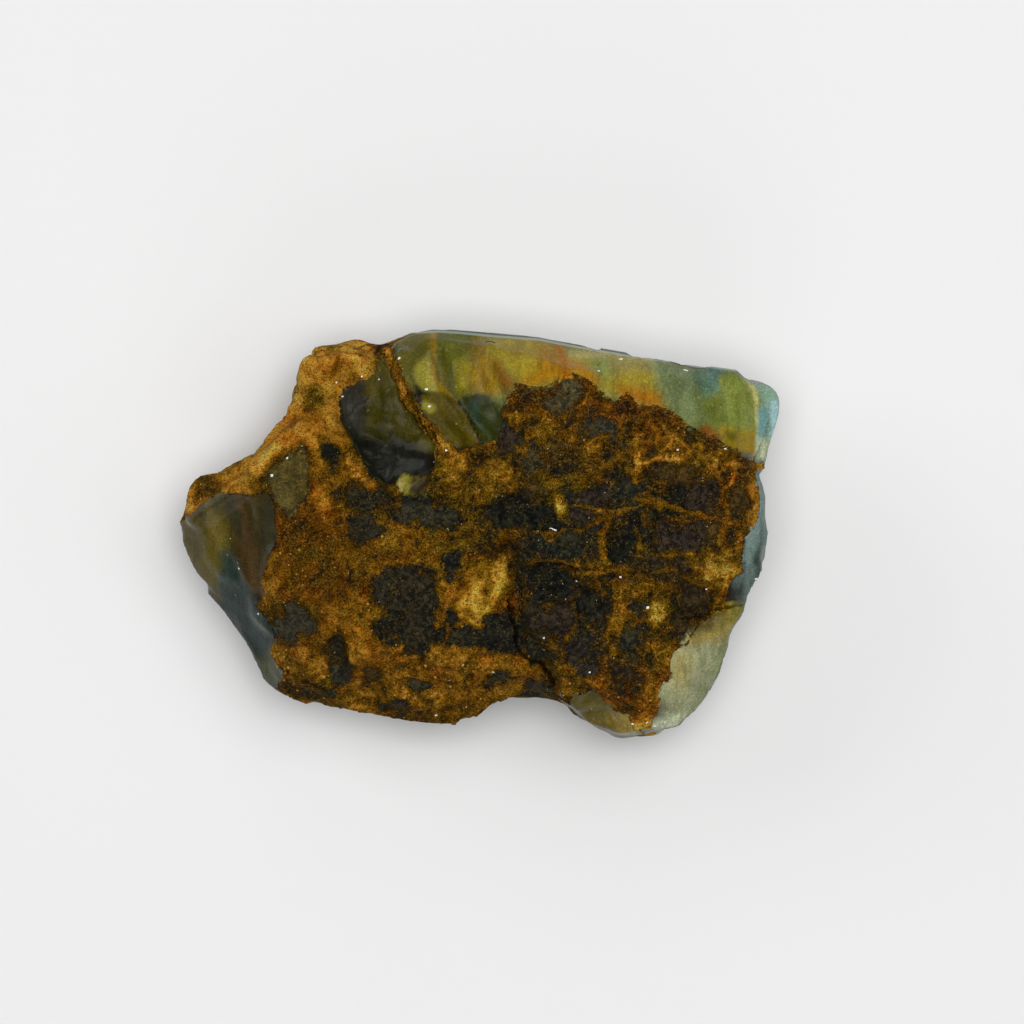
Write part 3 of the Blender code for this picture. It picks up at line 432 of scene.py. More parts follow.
# What tints the iron oxide, as a multiplier, and where, in the same way.
MINERALS = {
    "rust": (1.12, 0.9, 0.62), "moss": (0.9, 1.06, 1.1), "cream": (1, 1.1, 1), "plum": (0.92, 0.82, 1.2),
    "maroon": (1.02, 0.76, 1),
}
STAINS = (
    ("rust", (-16.8, 0.6), 3.8, 3.4, 1.2), ("rust", (-14.8, -5.4), 4, 1.8, 1),
    ("rust", (10.5, 12.6), 9, 2, 1, -12), ("rust", (3, -6.2), 1, 2.6, 0.6),
    ("rust", (24.6, 3), 2, 3.6, 0.8), ("rust", (14.6, -15.9), 4, 2.8, 1, -30),
    ("moss", (-16.2, -1.9), 1.8, 0.8, 0.7), ("moss", (-2.4, 2.6), 3.6, 4, 1.4),
    ("moss", (17.4, -7.2), 1.4, 1.7, 0.6), ("moss", (23.2, -3.3), 1.8, 1.4, 0.6),
    ("moss", (-16.3, 13.4), 1.2, 1.4, 0.6), ("moss", (8, 4), 3.6, 1.8, 0.8),
    ("cream", (0.4, -5.6), 4, 2.2, 0.6, 58), ("cream", (-6.2, 4.8), 1.8, 0.8, 0.3, -4),
    ("cream", (16.6, -19), 1.4, 0.9, 0.5, 20), ("plum", (-8.2, -17.3), 1.8, 0.7, 0.4, -5),
    ("maroon", (6.6, 14.2), 4.6, 0.7, 0.5), ("maroon", (14.6, 12.9), 3, 0.8, 0.5, -22),
    ("maroon", (3.4, 13), 1, 1.2, 0.5),
)


def laid_over(base, worn, patches, palette):
    """The base colours with each patch's colour laid over them in turn, with faded edges."""
    colours = base.copy()
    for name, centre, length, width, fade, *turn in patches:
        share = soft_step(into_patch(worn, centre, (length, width), *turn), -fade, fade)[:, None]
        colours = colours * (1.0 - share) + np.array(palette[name]) * share
    return colours


def thickness_of(usual, worn, patches):
    """The usual value with each patch's own laid over it in turn, with faded edges."""
    values = np.full(len(worn), usual)
    for value, centre, length, width, fade, *turn in patches:
        share = soft_step(into_patch(worn, centre, (length, width), *turn), -fade, fade)
        values = values * (1.0 - share) + value * share
    return values


stone_mesh = blank_of("raw_fluorite", "fluorite_stone")
points = per_vertex(stone_mesh.vertices, "co")
directions = per_vertex(stone_mesh.vertex_normals, "vector")
plan = points[:, :2]
up = soft_step(directions[:, 2], 0.05, 0.5)

# Every outline is read through this drift, so that no edge runs straight.
drift = np.stack([grain(points, 2.2, 4, seed) * 0.60 for seed in (21, 22)], axis=1)
worn_plan = plan + drift + np.stack([grain(points, 5.0, 1, seed) * 0.8 for seed in (23, 24)], axis=1)

# How bare each point is, in millimetres: more than 0 is clear crystal, less has iron oxide on it.
bare_area = np.max([into_area(plan + drift * 0.5, outline) for outline in BARE_AREAS.values()], axis=0)
patchy = grain(points, 7.0, 2, 7)
ochre_side = soft_step(-directions[:, 0] * 0.7 + directions[:, 1] * 0.5, 0.3, 0.8)
ochre_side *= soft_step(points[:, 0], -6.0, -14.0)
bare_wall = 0.45 + patchy * 1.6 - ochre_side * 2.2
bare_wall -= soft_step(points[:, 2], 10.0, 17.0) * 0.8 * (1 - ochre_side)
bare = bare_area * up + bare_wall * (1.0 - up) + grain(points, 1.1, 3, 4) * 0.22

# How thick the iron oxide lies on the rest, and how much of it is a net of threads.
film = soft_step(into_area(worn_plan, THIN_CRUST), -0.5, 1.0) * up
depths = [into_patch(worn_plan, place, (long, wide), *turn) for place, long, wide, _, *turn in WINDOWS]
window = np.max(depths, axis=0)
_, _, flake = cells(points, 1.4, 8, "CHEBYCHEV")
window += 0.12 + grain(points, 1.3, 3, 61) * 0.45 + flake * 0.14
calm = thickness_of(1.0, plan + drift, CALM)
blur = film * 0.60 + (1.0 - calm) * 0.9
in_window = soft_step(window, -0.45 - blur * 0.6, 0.35 + blur) * up
iron = thickness_of(USUAL_CRUST, plan + drift, IRON)
lemon = soft_step(into_area(plan + drift * 0.6, LEMON_FACE), -0.3, 0.25)
iron = iron * (1.0 - lemon) + lemon * thickness_of(LEMON_CLAY, plan + drift * 0.3, LEMON_MARKS)
iron = iron * up + (0.66 + ochre_side * 0.2) * (1.0 - up)
iron = iron * (1.0 - in_window) + (0.05 + film * 0.05) * in_window
mottle = (calm - film * 0.15) * (1.0 - in_window * 0.45)
vein_rise = np.zeros(len(points))
swing = 1.0 + grain(points, 1.6, 2, 31) * 0.6
for half, height, thickness, route in VEINS:
    on_vein = soft_step(half * swing - from_line(plan + drift * 0.45, route), -half * 0.8, half * 0.7) * up
    iron = np.maximum(iron, (thickness - film * 0.06) * on_vein)
    vein_rise = np.maximum(vein_rise, on_vein * height * swing)
    bare = np.minimum(bare, 0.35 - on_vein)
is_bare = soft_step(bare, -0.18, 0.18)
net = np.clip(film * 0.5 + 0.30 + in_window * 0.10, 0.0, 1.0) * (1.0 - in_window * film * 0.3) * up
# Where the cracks are, for the painted shade in them.
crack_shade_mask = np.max([half - from_line(plan + drift * 0.3, route) for half, depth, route in CRACKS], axis=0)

# The crust's lumps, the crystal's cleavage blocks, and the point that the bowl's ripples spread from.
LUMP_SIZE = 1.1
BLOCK_SIZE = 1.9
RIPPLE_CENTRE = (-6.0, 14.6)

# The relief, in millimetres along the normals. It is low on the walls, so that the outline stays clean.
near, edge, _ = cells(points, LUMP_SIZE, 3)
lumps = (0.5 * LUMP_SIZE - near) * 0.20 + np.clip(edge, 0.0, 0.25) * 0.30
grains = grain(points, 0.8, 3, 9) * 0.13
_, block_edge, block_level = cells(points, BLOCK_SIZE, 5, "CHEBYCHEV")
facets = block_level * 0.03 * soft_step(block_edge, 0.0, 0.4)
from_centre = np.linalg.norm(plan - RIPPLE_CENTRE, axis=1)
ripples = np.sin(from_centre * 5.0 + grain(points, 2.5, 1, 11) * 2.0) * 0.03
smooth_glass = grain(points, 3.0, 2, 12) * 0.05
crust_rise = (lumps + grains) * (0.3 + 0.7 * up) * (1.0 - in_window)
rise = (1.0 - is_bare) * crust_rise + is_bare * smooth_glass + facets * np.maximum(in_window, 0.2 * is_bare)
rise += vein_rise - in_window * 0.05 * (1.0 - is_bare)
for half, depth, route in CRACKS:
    rise -= soft_step(half - from_line(plan + drift * 0.3, route), 0.0, half) * depth * up
rise += ripples * soft_step(into_area(plan, BARE_AREAS["bowl"]), 0.0, 1.0) * up
moved = points + directions * rise[:, None]
moved[:, 2] = np.maximum(moved[:, 2], 0.0)
brink = across_line(moved[:, :2], BACK_EDGE) - np.where(moved[:, 0] < 15.0, 0.30, 0.05)
moved[:, 1] -= np.where((moved[:, 0] > -4.0) & (moved[:, 0] < 26.0), np.maximum(brink, 0.0), 0.0)
stone_mesh.vertices.foreach_set("co", (moved * MM).astype(np.float32).ravel())
stone_mesh.update()

# The colours of the crystal at each point, and what tints the iron oxide. A window's own colour reaches a
# little past its edge.
GROUND_MARGIN = 0.8
band = np.sin(points @ np.array((0.42, 0.30, 0.55)) + grain(points, 6.0, 2, 15) * 1.6)
glass_base = {name: np.array(srgb(*seen)) for name, seen in GLASS.items()}
teal, pale = glass_base["blue slate"], glass_base["pale green"]
wall_glass = teal + (pale - teal) * (0.15 + 0.75 * soft_step(band, -0.9, 1.3))[:, None]
wall_glass += (glass_base["streak"] - wall_glass) * (soft_step(patchy, 0.1, 0.6) * 0.5)[:, None]
ground = glass_base["coal"] * np.ones((len(points), 3))
for centre, length, width, name, *turn in WINDOWS:
    halves = (length + GROUND_MARGIN, width + GROUND_MARGIN)
    share = soft_step(into_patch(worn_plan, centre, halves, *turn), 0.0, GROUND_MARGIN)[:, None]
    ground = ground * (1.0 - share) + glass_base[name] * share
top_glass = laid_over(ground, plan + drift, TINTS, glass_base)
for name, fade, outline in FACETS:
    share = soft_step(into_area(plan + drift * 0.2, outline), -fade, fade)[:, None]
    top_glass = top_glass * (1.0 - share) + glass_base[name] * share
top_glass += (ground - top_glass) * (1.0 - soft_step(bare_area, -0.6, -0.1))[:, None]
glass_tint = top_glass * up[:, None] + wall_glass * (1.0 - up[:, None])
glass_tint *= 1.0 + (THROUGH_LOSS - 1.0) * is_bare[:, None]
crust_tint = laid_over(np.ones((len(points), 3)), plan + drift, STAINS, MINERALS)


def give(mesh, name, kind, values):
    """Stores a value for each vertex, which the material reads by this name."""
    layer = mesh.attributes.new(name, kind, "POINT")
    if kind == "FLOAT":
        layer.data.foreach_set("value", values.astype(np.float32))
    else:
        layer.data.foreach_set("color", np.c_[values, np.ones(len(values))].astype(np.float32).ravel())


for label, values in (
    ("bare", bare), ("iron", iron), ("net", net), ("mottle", mottle),
    ("crack_shade", np.where(up > 0.3, crack_shade_mask, -1.0)), ("crust_height", crust_rise),
    ("back_edge", across_line(plan, BACK_EDGE)), ("in_sight", soft_step(directions[:, 2], 0.05, 0.30)),
):
    give(stone_mesh, label, "FLOAT", values)
give(stone_mesh, "glass_tint", "FLOAT_COLOR", glass_tint)
give(stone_mesh, "crust_tint", "FLOAT_COLOR", crust_tint)
stone_mesh.shade_smooth()


def new_material(name):
    """A material, its node tree and its shader."""
    material = bpy.data.materials.new(name)
    material.use_nodes = True
    return material, material.node_tree, material.node_tree.nodes["Principled BSDF"]


def filled(tree, made, inputs):
    """Puts a link or a plain value on each of a node's inputs, found by its name or its identifier."""
    for name, source in inputs.items():
        socket = next(s for s in made.inputs if name in (s.identifier, s.name))
        if isinstance(source, bpy.types.NodeSocket):
            tree.links.new(source, socket)
        else:
            socket.default_value = source
    return made


def node(tree, kind, inputs=None, **settings):
    """A new node of this kind with these inputs and settings."""
    made = tree.nodes.new(kind)
    for name, value in settings.items():
        setattr(made, name, value)
    return filled(tree, made, inputs or {})


def attribute(tree, name, output):
    return node(tree, "ShaderNodeAttribute", attribute_name=name).outputs[output]


def noise_of(tree, size, detail=2.0, roughness=0.5, output="Fac", stretch=None):
    """Noise on Object coordinates with forms of this size in millimetres, from 0 to 1."""
    place = node(tree, "ShaderNodeTexCoord").outputs["Object"]
    if stretch:
        place = node(tree, "ShaderNodeMapping", {"Vector": place, "Scale": stretch}).outputs["Vector"]
    inputs = {"Vector": place, "Scale": 1.0 / (size * MM), "Detail": detail, "Roughness": roughness}
    return node(tree, "ShaderNodeTexNoise", inputs).outputs[output]


def cells_of(tree, size, noise_size, drift, output, **settings):
    """Cells of this size in millimetres, with walls that noise of another size pushes about by the drift."""
    push = noise_of(tree, noise_size, 1.0, 0.6, "Color")
    place = node(tree, "ShaderNodeTexCoord").outputs["Object"]
    shift = {"Vector": push, "Vector_001": (drift * MM,) * 3, "Vector_002": place}
    pushed = node(tree, "ShaderNodeVectorMath", shift, operation="MULTIPLY_ADD").outputs[0]
    inputs = {"Vector": pushed, "Scale": 1.0 / (size * MM)}
    return node(tree, "ShaderNodeTexVoronoi", inputs, **settings).outputs[output]


def math_of(tree, operation, first, second=0.0, third=0.0):
    values = {"Value": first, "Value_001": second, "Value_002": third}
    return node(tree, "ShaderNodeMath", values, operation=operation).outputs[0]


def times(tree, first, second):
    return math_of(tree, "MULTIPLY", first, second)


def stepped(tree, value, low, high, start=0.0, end=1.0):
    """start below low, end above high, and smooth between."""
    ends = {"Value": value, "From Min": low, "From Max": high, "To Min": start, "To Max": end}
    return node(tree, "ShaderNodeMapRange", ends, interpolation_type="SMOOTHSTEP").outputs["Result"]


def blended(tree, share, first, second, kind="MIX"):
    """The first colour, turned by this share into what this kind of blend makes of both."""
    sources = [c if isinstance(c, bpy.types.NodeSocket) else (*c, 1.0) for c in (first, second)]
    inputs = {"Factor_Float": share, "A_Color": sources[0], "B_Color": sources[1]}
    made = node(tree, "ShaderNodeMix", inputs, data_type="RGBA", blend_type=kind)
    return next(s for s in made.outputs if s.identifier == "Result_Color")


def tinted(tree, share, under, gains, base=None):
    """The colour under, turned by this share into the base colour times its gains."""
    base = under if base is None else base
    return blended(tree, share, under, blended(tree, 1.0, base, gains, "MULTIPLY"))


# The colours that iron oxide takes as it thickens, from a film to dry clay.
OXIDE = (
    (0.14, srgb(33, 26, 12)), (0.32, srgb(55, 39, 10)), (0.50, srgb(82, 55, 8)), (0.66, srgb(108, 72, 11)),
    (0.80, srgb(136, 92, 22)), (0.94, srgb(170, 118, 38)), (1.04, srgb(186, 136, 48)),
    (1.14, srgb(186, 156, 66)),
)
OXIDE_REACH = 1.2

# Clear fluorite: how much light goes through, how it bends, and what its depth takes out per metre.
CLEARNESS = 0.25
FLUORITE_IOR = 1.434
DEPTH_COLOUR = (0.72, 0.86, 0.50, 1.0)
DEPTH_LOSS = 110.0
BUMP_HEIGHT = 0.28


def stone_material():
    material, tree, shader = new_material("crusted fluorite")
    bare, iron, net, mottle, crack_shade, height, back_edge, in_sight = (
        attribute(tree, name, "Fac")
        for name in ("bare", "iron", "net", "mottle", "crack_shade", "crust_height", "back_edge", "in_sight")
    )
    finer = noise_of(tree, 0.15, 0.0)
    grit = noise_of(tree, 0.26, 1.0, 1.0)
    fine = noise_of(tree, 0.5, 3.0, 0.65)
    broad = noise_of(tree, 1.6, 3.0, 0.65)
    wide = noise_of(tree, 5.0, 2.0, 0.6)
    streaks = noise_of(tree, 0.9, 2.0, 0.7, "Fac", (1.0, 0.22, 0.22))

    # Where crystal shows, with an edge broken up by grains.
    broken = math_of(tree, "MULTIPLY_ADD", math_of(tree, "SUBTRACT", fine, 0.5), 1.2, bare)
    is_glass = stepped(tree, broken, -0.08, 0.08)

    # How thick the iron oxide lies, with threads, mottling, pits and grains. It is made thinner over the
    # hollows of its lumps and thicker on their tops, which paints shade into the hollows and light onto the
    # tops.
    for size, gain, where in ((2.4, 0.32, wide), (0.95, 0.20, broad)):
        wall = cells_of(tree, size, size * 0.8, 1.6, "Distance", feature="DISTANCE_TO_EDGE")
        thread = times(tree, stepped(tree, wall, 0.0, 0.09, gain, 0.0), net)
        thread = times(tree, thread, stepped(tree, where, 0.40, 0.56))
        iron = math_of(tree, "ADD", iron, thread)
    iron = math_of(tree, "SUBTRACT", iron, 0.07)
    for texture, gain in ((wide, 0.8), (broad, 1.2), (fine, 0.35)):
        swing = times(tree, math_of(tree, "SUBTRACT", texture, 0.5), gain)
        iron = math_of(tree, "MULTIPLY_ADD", swing, mottle, iron)
    # Painted shade in the hollows of the lumps, and painted light on their tops.
    iron = math_of(tree, "ADD", iron, stepped(tree, height, -0.14, 0.06, -0.18, 0.06))
    ramp = node(tree, "ShaderNodeValToRGB", {"Fac": math_of(tree, "DIVIDE", iron, OXIDE_REACH)})
    for i, (place, colour) in enumerate(OXIDE):
        stop = ramp.color_ramp.elements[i] if i < 2 else ramp.color_ramp.elements.new(place / OXIDE_REACH)
        stop.position = place / OXIDE_REACH
        stop.color = (*colour, 1.0)
    crust = blended(tree, 1.0, ramp.outputs["Color"], attribute(tree, "crust_tint", "Color"), "MULTIPLY")
    yellower, redder = (noise_of(tree, size, 2.0, 0.6) for size in (2.2, 2.6))
    crust = tinted(tree, stepped(tree, yellower, 0.45, 0.62), crust, (0.92, 1.10, 1.15))
    crust = tinted(tree, stepped(tree, redder, 0.36, 0.48, 1.0, 0.0), crust, (1.10, 0.88, 0.74))

    # Painted shade in the pits between its grains, and its grains brightened, partly as paler oxide and
    # partly as painted glints, at three sizes. The middle size is weak on smooth clay.
    rough = math_of(tree, "MULTIPLY_ADD", mottle, 0.5, 0.5)
    for texture, weight, pit_shade, gains, glint, light in (
        (fine, 1.0, (0.34, 0.48, 0.6, 0.0), (0.62, 0.56, 0.45), (0.54, 0.68, 0.0, 0.6), (0.05, 0.036, 0.013)),
        (grit, rough, (0.33, 0.39, 0.9, 0.0), (0.33, 0.25, 0.15), (0.62, 0.7, 0.0, 0.9), (0.1, 0.074, 0.026)),
        (finer, 1.0, (0.34, 0.42, 0.8, 0.0), (0.38, 0.3, 0.18), (0.58, 0.68, 0.0, 1.0), (0.04, 0.03, 0.01)),
    ):
        crust = tinted(tree, times(tree, stepped(tree, texture, *pit_shade), weight), crust, gains)
        crust = blended(tree, times(tree, stepped(tree, texture, *glint), weight), crust, light, "ADD")

    # The crystal: its own tint, clouded and streaked inside, with a few pale specks on it.
    own = attribute(tree, "glass_tint", "Color")
    glass = own
    for texture, step, gains in (
        (broad, (0.48, 0.70, 0.0, 0.5), (1.5, 1.45, 1.4)),
        (wide, (0.34, 0.50, 0.6, 0.0), (0.6, 0.64, 0.7)),
        (streaks, (0.48, 0.62, 0.0, 0.65), (0.6, 0.56, 0.48)),
        (fine, (0.30, 0.46, 0.6, 0.0), (0.66, 0.64, 0.6)),
        (fine, (0.54, 0.70, 0.0, 0.6), (1.4, 1.36, 1.3)),
    ):
        glass = tinted(tree, stepped(tree, texture, *step), glass, gains, own)

    # In the windows: clouds, cleavage blocks that are darker or colder than others, and grains of light.
    deep = stepped(tree, bare, -0.3, 0.3, 1.0, 0.0)
    deep = times(tree, deep, stepped(tree, mottle, 0.25, 0.50, 0.40, 1.0))
    cloud = noise_of(tree, 1.1, 2.0, 0.55)
    block = cells_of(tree, 1.5, 1.4, 1.2, "Color", distance="CHEBYCHEV")
    dark, cold, _ = node(tree, "ShaderNodeSeparateColor", {"Color": block}).outputs
    for texture, step, gains in (
        (cloud, (0.52, 0.66, 0.0, 1.0), (1.9, 1.8, 1.5)),
        (cloud, (0.34, 0.48, 1.0, 0.0), (0.45, 0.48, 0.55)),
        (dark, (0.2, 0.8, 0.0, 0.75), (0.50, 0.52, 0.56)),
    ):
        glass = tinted(tree, times(tree, stepped(tree, texture, *step), deep), glass, gains, own)
    cold = times(tree, stepped(tree, cold, 0.3, 0.7, 0.0, 0.8), deep)
    glass = tinted(tree, cold, glass, (0.84, 0.98, 1.35))
    glass = tinted(tree, times(tree, stepped(tree, fine, 0.44, 0.64), deep), glass, (2.4, 2.2, 1.8), own)
    speck = times(tree, stepped(tree, grit, 0.61, 0.68), stepped(tree, broad, 0.40, 0.56))
    glass = blended(tree, times(tree, speck, times(tree, deep, 0.8)), glass, srgb(98, 84, 46))

    # All over the crystal: pale specks, and grain in it that is weaker in the windows.
    glass = blended(tree, stepped(tree, grit, 0.80, 0.84, 0.0, 0.7), glass, srgb(186, 180, 140))
    soft = math_of(tree, "MULTIPLY_ADD", deep, -0.5, 1.0)
    for step, gain in (((0.26, 0.42, 0.5, 0.0), 0.4), ((0.58, 0.74, 0.0, 0.4), 1.6)):
        glass = tinted(tree, times(tree, stepped(tree, grit, *step), soft), glass, (gain,) * 3, own)
    for step, gain in (((0.32, 0.42, 0.7, 0.0), 0.7), ((0.58, 0.68, 0.0, 0.7), 1.35)):
        glass = tinted(tree, stepped(tree, finer, *step), glass, (gain,) * 3)

    # The two together, with painted shade in the cracks and a painted highlight along the back edge.
    film = blended(tree, stepped(tree, iron, 0.04, 0.40), glass, crust)
    colour = blended(tree, is_glass, film, glass)
    # Painted shade: the cracks are darkened nearly to black.
    colour = blended(tree, stepped(tree, crack_shade, 0.0, 0.25, 0.0, 0.85), colour, srgb(18, 14, 6))
    beyond = stepped(tree, back_edge, 0.02, 0.10, 0.0, 0.8)
    # Painted highlight: a pale line along the back edge.
    edge_highlight = stepped(tree, math_of(tree, "ABSOLUTE", back_edge), 0.06, 0.16, 0.6, 0.0)
    colour = blended(tree, times(tree, beyond, in_sight), colour, srgb(70, 84, 88))
    colour = blended(tree, times(tree, edge_highlight, in_sight), colour, srgb(180, 195, 188))
    crystal = math_of(tree, "MAXIMUM", is_glass, stepped(tree, iron, 0.10, 0.40, 0.6, 0.0))
    relief = math_of(tree, "MULTIPLY_ADD", finer, 0.5, fine)
    relief = times(tree, relief, stepped(tree, bare, -0.1, 0.1, 1.0, 0.15))
    bump = node(tree, "ShaderNodeBump", {"Strength": 1.0, "Distance": BUMP_HEIGHT * MM, "Height": relief})
    filled(tree, shader, {
        "Base Color": colour, "Roughness": stepped(tree, crystal, 0.0, 1.0, 0.85, 0.30),
        "Normal": bump.outputs["Normal"], "IOR": FLUORITE_IOR, "Specular IOR Level": 0.06,
        "Transmission Weight": times(tree, is_glass, CLEARNESS), "Coat Weight": times(tree, is_glass, 0.22),
        "Coat IOR": FLUORITE_IOR, "Coat Roughness": 0.15,
    })
    absorption = node(tree, "ShaderNodeVolumeAbsorption", {"Color": DEPTH_COLOUR, "Density": DEPTH_LOSS})
    tree.links.new(absorption.outputs["Volume"], tree.nodes["Material Output"].inputs["Volume"])
    return material


stone = placed("fluorite_stone", stone_mesh)
stone_mesh.materials.clear()
stone_mesh.materials.append(stone_material())
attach(stone, "root")
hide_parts("raw_fluorite")

# ----------------------------------------------------------------------------
# The crumbs: loose grains of iron oxide that the crust sheds. They lie where it is thick, most of all on the
# front slope, along the veins and at the tip of the toe.
# ----------------------------------------------------------------------------

CRUMBS_PER_MM2 = 3.2
SMALLEST_CRUMB = 0.05
LARGEST_CRUMB = 0.17
CRUMB_SEED = 7


def scattering(name, shape, shape_inputs):
    """Nodes that lay pieces of one shape over a surface, as thick as its "share" attribute says."""
    tree = bpy.data.node_groups.new(name, "GeometryNodeTree")
    tree.interface.new_socket("Geometry", in_out="OUTPUT", socket_type="NodeSocketGeometry")
    for label, kind in (
        ("Geometry", "Geometry"), ("Pieces per Square Metre", "Float"), ("Smallest", "Float"),
        ("Largest", "Float"), ("Seed", "Int"), ("Material", "Material"),
    ):
        tree.interface.new_socket(label, in_out="INPUT", socket_type="NodeSocket" + kind)
    given = node(tree, "NodeGroupInput").outputs
    share = node(tree, "GeometryNodeInputNamedAttribute", {"Name": "share"}, data_type="FLOAT")
    density = times(tree, share.outputs["Attribute"], given["Pieces per Square Metre"])
    spread = {"Mesh": given["Geometry"], "Density": density, "Seed": given["Seed"]}
    spots = node(tree, "GeometryNodeDistributePointsOnFaces", spread)
    turn = node(tree, "FunctionNodeRandomValue", {"Max": (math.tau,) * 3}, data_type="FLOAT_VECTOR")
    limits = {"Min_001": given["Smallest"], "Max_001": given["Largest"]}
    size = node(tree, "FunctionNodeRandomValue", limits, data_type="FLOAT")
    laid = node(tree, "GeometryNodeInstanceOnPoints", {
        "Points": spots.outputs["Points"], "Instance": node(tree, shape, shape_inputs).outputs["Mesh"],
        "Rotation": turn.outputs["Value"],
        "Scale": next(s for s in size.outputs if s.identifier == "Value_001"),
    })
    real = node(tree, "GeometryNodeRealizeInstances", {"Geometry": laid.outputs["Instances"]})
    dress = {"Geometry": real.outputs["Geometry"], "Material": given["Material"]}
    dressed = node(tree, "GeometryNodeSetMaterial", dress)
    node(tree, "NodeGroupOutput", {"Geometry": dressed.outputs["Geometry"]})
    return tree


def strewn(name, share, group, per_mm2, smallest, largest, seed, material):
    """An object of the pieces that this node group lays over the stone. Sizes are in millimetres."""
    if "share" not in stone_mesh.attributes:
        stone_mesh.attributes.new("share", "FLOAT", "POINT")
    stone_mesh.attributes["share"].data.foreach_set("value", share.astype(np.float32))
    carrier = placed(name, stone_mesh)
    modifier = carrier.modifiers.new("strewn", "NODES")
    modifier.node_group = group
    values = {
        "Pieces per Square Metre": per_mm2 / MM**2, "Smallest": smallest * MM, "Largest": largest * MM,
        "Seed": seed, "Material": material,
    }
    for item in group.interface.items_tree:
        if item.in_out == "INPUT" and item.name in values:
            modifier[item.identifier] = values[item.name]
    return placed(name, worked(carrier))


crumb_material, crumb_tree, crumb_shader = new_material("iron oxide crumbs")
crumb_noise = noise_of(crumb_tree, 0.5, 2.0, 0.6)
crumb_colour = blended(
    crumb_tree, stepped(crumb_tree, crumb_noise, 0.38, 0.52), srgb(84, 50, 6), srgb(140, 90, 18))
crumb_colour = blended(
    crumb_tree, stepped(crumb_tree, crumb_noise, 0.54, 0.64), crumb_colour, srgb(186, 148, 62))
filled(crumb_tree, crumb_shader, {"Base Color": crumb_colour, "Roughness": 0.7, "Specular IOR Level": 0.3})

crumb_share = (1.0 - is_bare) * (1.0 - in_window) * up * soft_step(iron, 0.35, 0.85)
crumb_share *= 0.15 + 0.85 * soft_step(grain(points, 3.0, 2, 41), -0.1, 0.5)
crumb_share *= (0.4 + 0.6 * soft_step(mottle, 0.6, 0.95)) * (1.0 - 0.65 * film)
crumb_nodes = scattering("crumbs on the crust", "GeometryNodeMeshIcoSphere", {"Radius": 1.0})
crumbs = strewn(
    "iron_oxide_crumbs", crumb_share, crumb_nodes, CRUMBS_PER_MM2, SMALLEST_CRUMB, LARGEST_CRUMB, CRUMB_SEED,
    crumb_material)
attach(crumbs, "root")

# ----------------------------------------------------------------------------
# The chips: slivers and dust of clear fluorite that split off the stone and cling to it. Their near-white
# colour is partly the white of broken cleavages and partly painted glints. Most are dust, and a few are large
# enough to have a shape.
# ----------------------------------------------------------------------------

DUST_PER_MM2 = 0.26
SMALLEST_DUST = 0.05
LARGEST_DUST = 0.13
DUST_SEED = 3
CHIP_THICKNESS = 0.10

# How far each corner of a chip is broken back towards its middle, so that no two edges match.
CORNER_LOSS = (0.0, 0.25, 0.1, 0.35, 0.05, 0.3, 0.2, 0.1)

# The larger chips: place, length, width, and turn in degrees.
CHIPS = (
    ((-20.4, 5.8), 0.34, 0.3, 10), ((-18.9, 7.5), 0.24, 0.2, 40), ((-23.8, -3.4), 0.22, 0.2, 0),
    ((-21.9, -7.9), 0.26, 0.2, 60), ((-5.2, 14.3), 0.46, 0.26, 14), ((-4.9, 12.6), 0.32, 0.24, -40),
    ((-3.2, 8.3), 0.36, 0.3, 20), ((7.3, 0.5), 0.8, 0.13, -20), ((14, 17.3), 0.5, 0.18, 10),
    ((20.4, 16.2), 0.6, 0.16, -14), ((-7.9, 17.4), 0.34, 0.22, 30), ((11.8, 16.1), 0.26, 0.22, 0),
    ((16.6, -7.2), 0.34, 0.3, 0), ((-11.6, 15.6), 0.24, 0.18, 40), ((-9.9, 15.3), 0.18, 0.16, 0),
    ((-13.5, 13.6), 0.26, 0.14, 20), ((-14.1, 15), 0.24, 0.16, -60), ((1.4, -13.6), 0.3, 0.24, 0),
    ((-1.6, -12.9), 0.2, 0.18, 0), ((-4.3, -18), 0.3, 0.2, 20), ((16.6, -18.6), 0.4, 0.24, 30),
    ((17.4, -19), 0.36, 0.26, -20), ((18.4, -18.6), 0.3, 0.2, 60), ((15.2, -18.8), 0.34, 0.2, 0),
    ((9.6, -4.6), 0.26, 0.2, 30), ((13.9, -4.2), 0.3, 0.22, 0), ((22.4, -5.4), 0.22, 0.18, 0),
    ((24.2, 8.4), 0.34, 0.16, 20), ((19.5, 8.3), 0.24, 0.16, 0), ((6.4, -10.2), 0.26, 0.2, 50),
    ((10.9, -13.6), 0.22, 0.18, 0), ((27.3, -4.4), 0.26, 0.22, 0),
)

chip_material, chip_tree, chip_shader = new_material("fluorite chips with painted glints")
chip_noise = noise_of(chip_tree, 0.9, 1.0, 0.5)
# Painted glints: the chips are coloured near white, with some of them pale yellow.
chip_glint_colour = blended(
    chip_tree, stepped(chip_tree, chip_noise, 0.45, 0.6), srgb(196, 194, 170), srgb(178, 164, 112))
filled(chip_tree, chip_shader, {"Base Color": chip_glint_colour, "Roughness": 0.25, "IOR": FLUORITE_IOR})

dust_share = up * (0.35 + 0.65 * soft_step(grain(points, 5.0, 2, 51), -0.2, 0.5))
dust_share *= 0.4 + 0.6 * soft_step(iron, 0.70, 0.95)
dust_nodes = scattering("dust on the stone", "GeometryNodeMeshCube", {"Size": (1.0, 0.8, 0.5)})
dust = strewn(
    "crystal_dust", dust_share, dust_nodes, DUST_PER_MM2, SMALLEST_DUST, LARGEST_DUST, DUST_SEED,
    chip_material)
stone_mesh.attributes.remove(stone_mesh.attributes["share"])

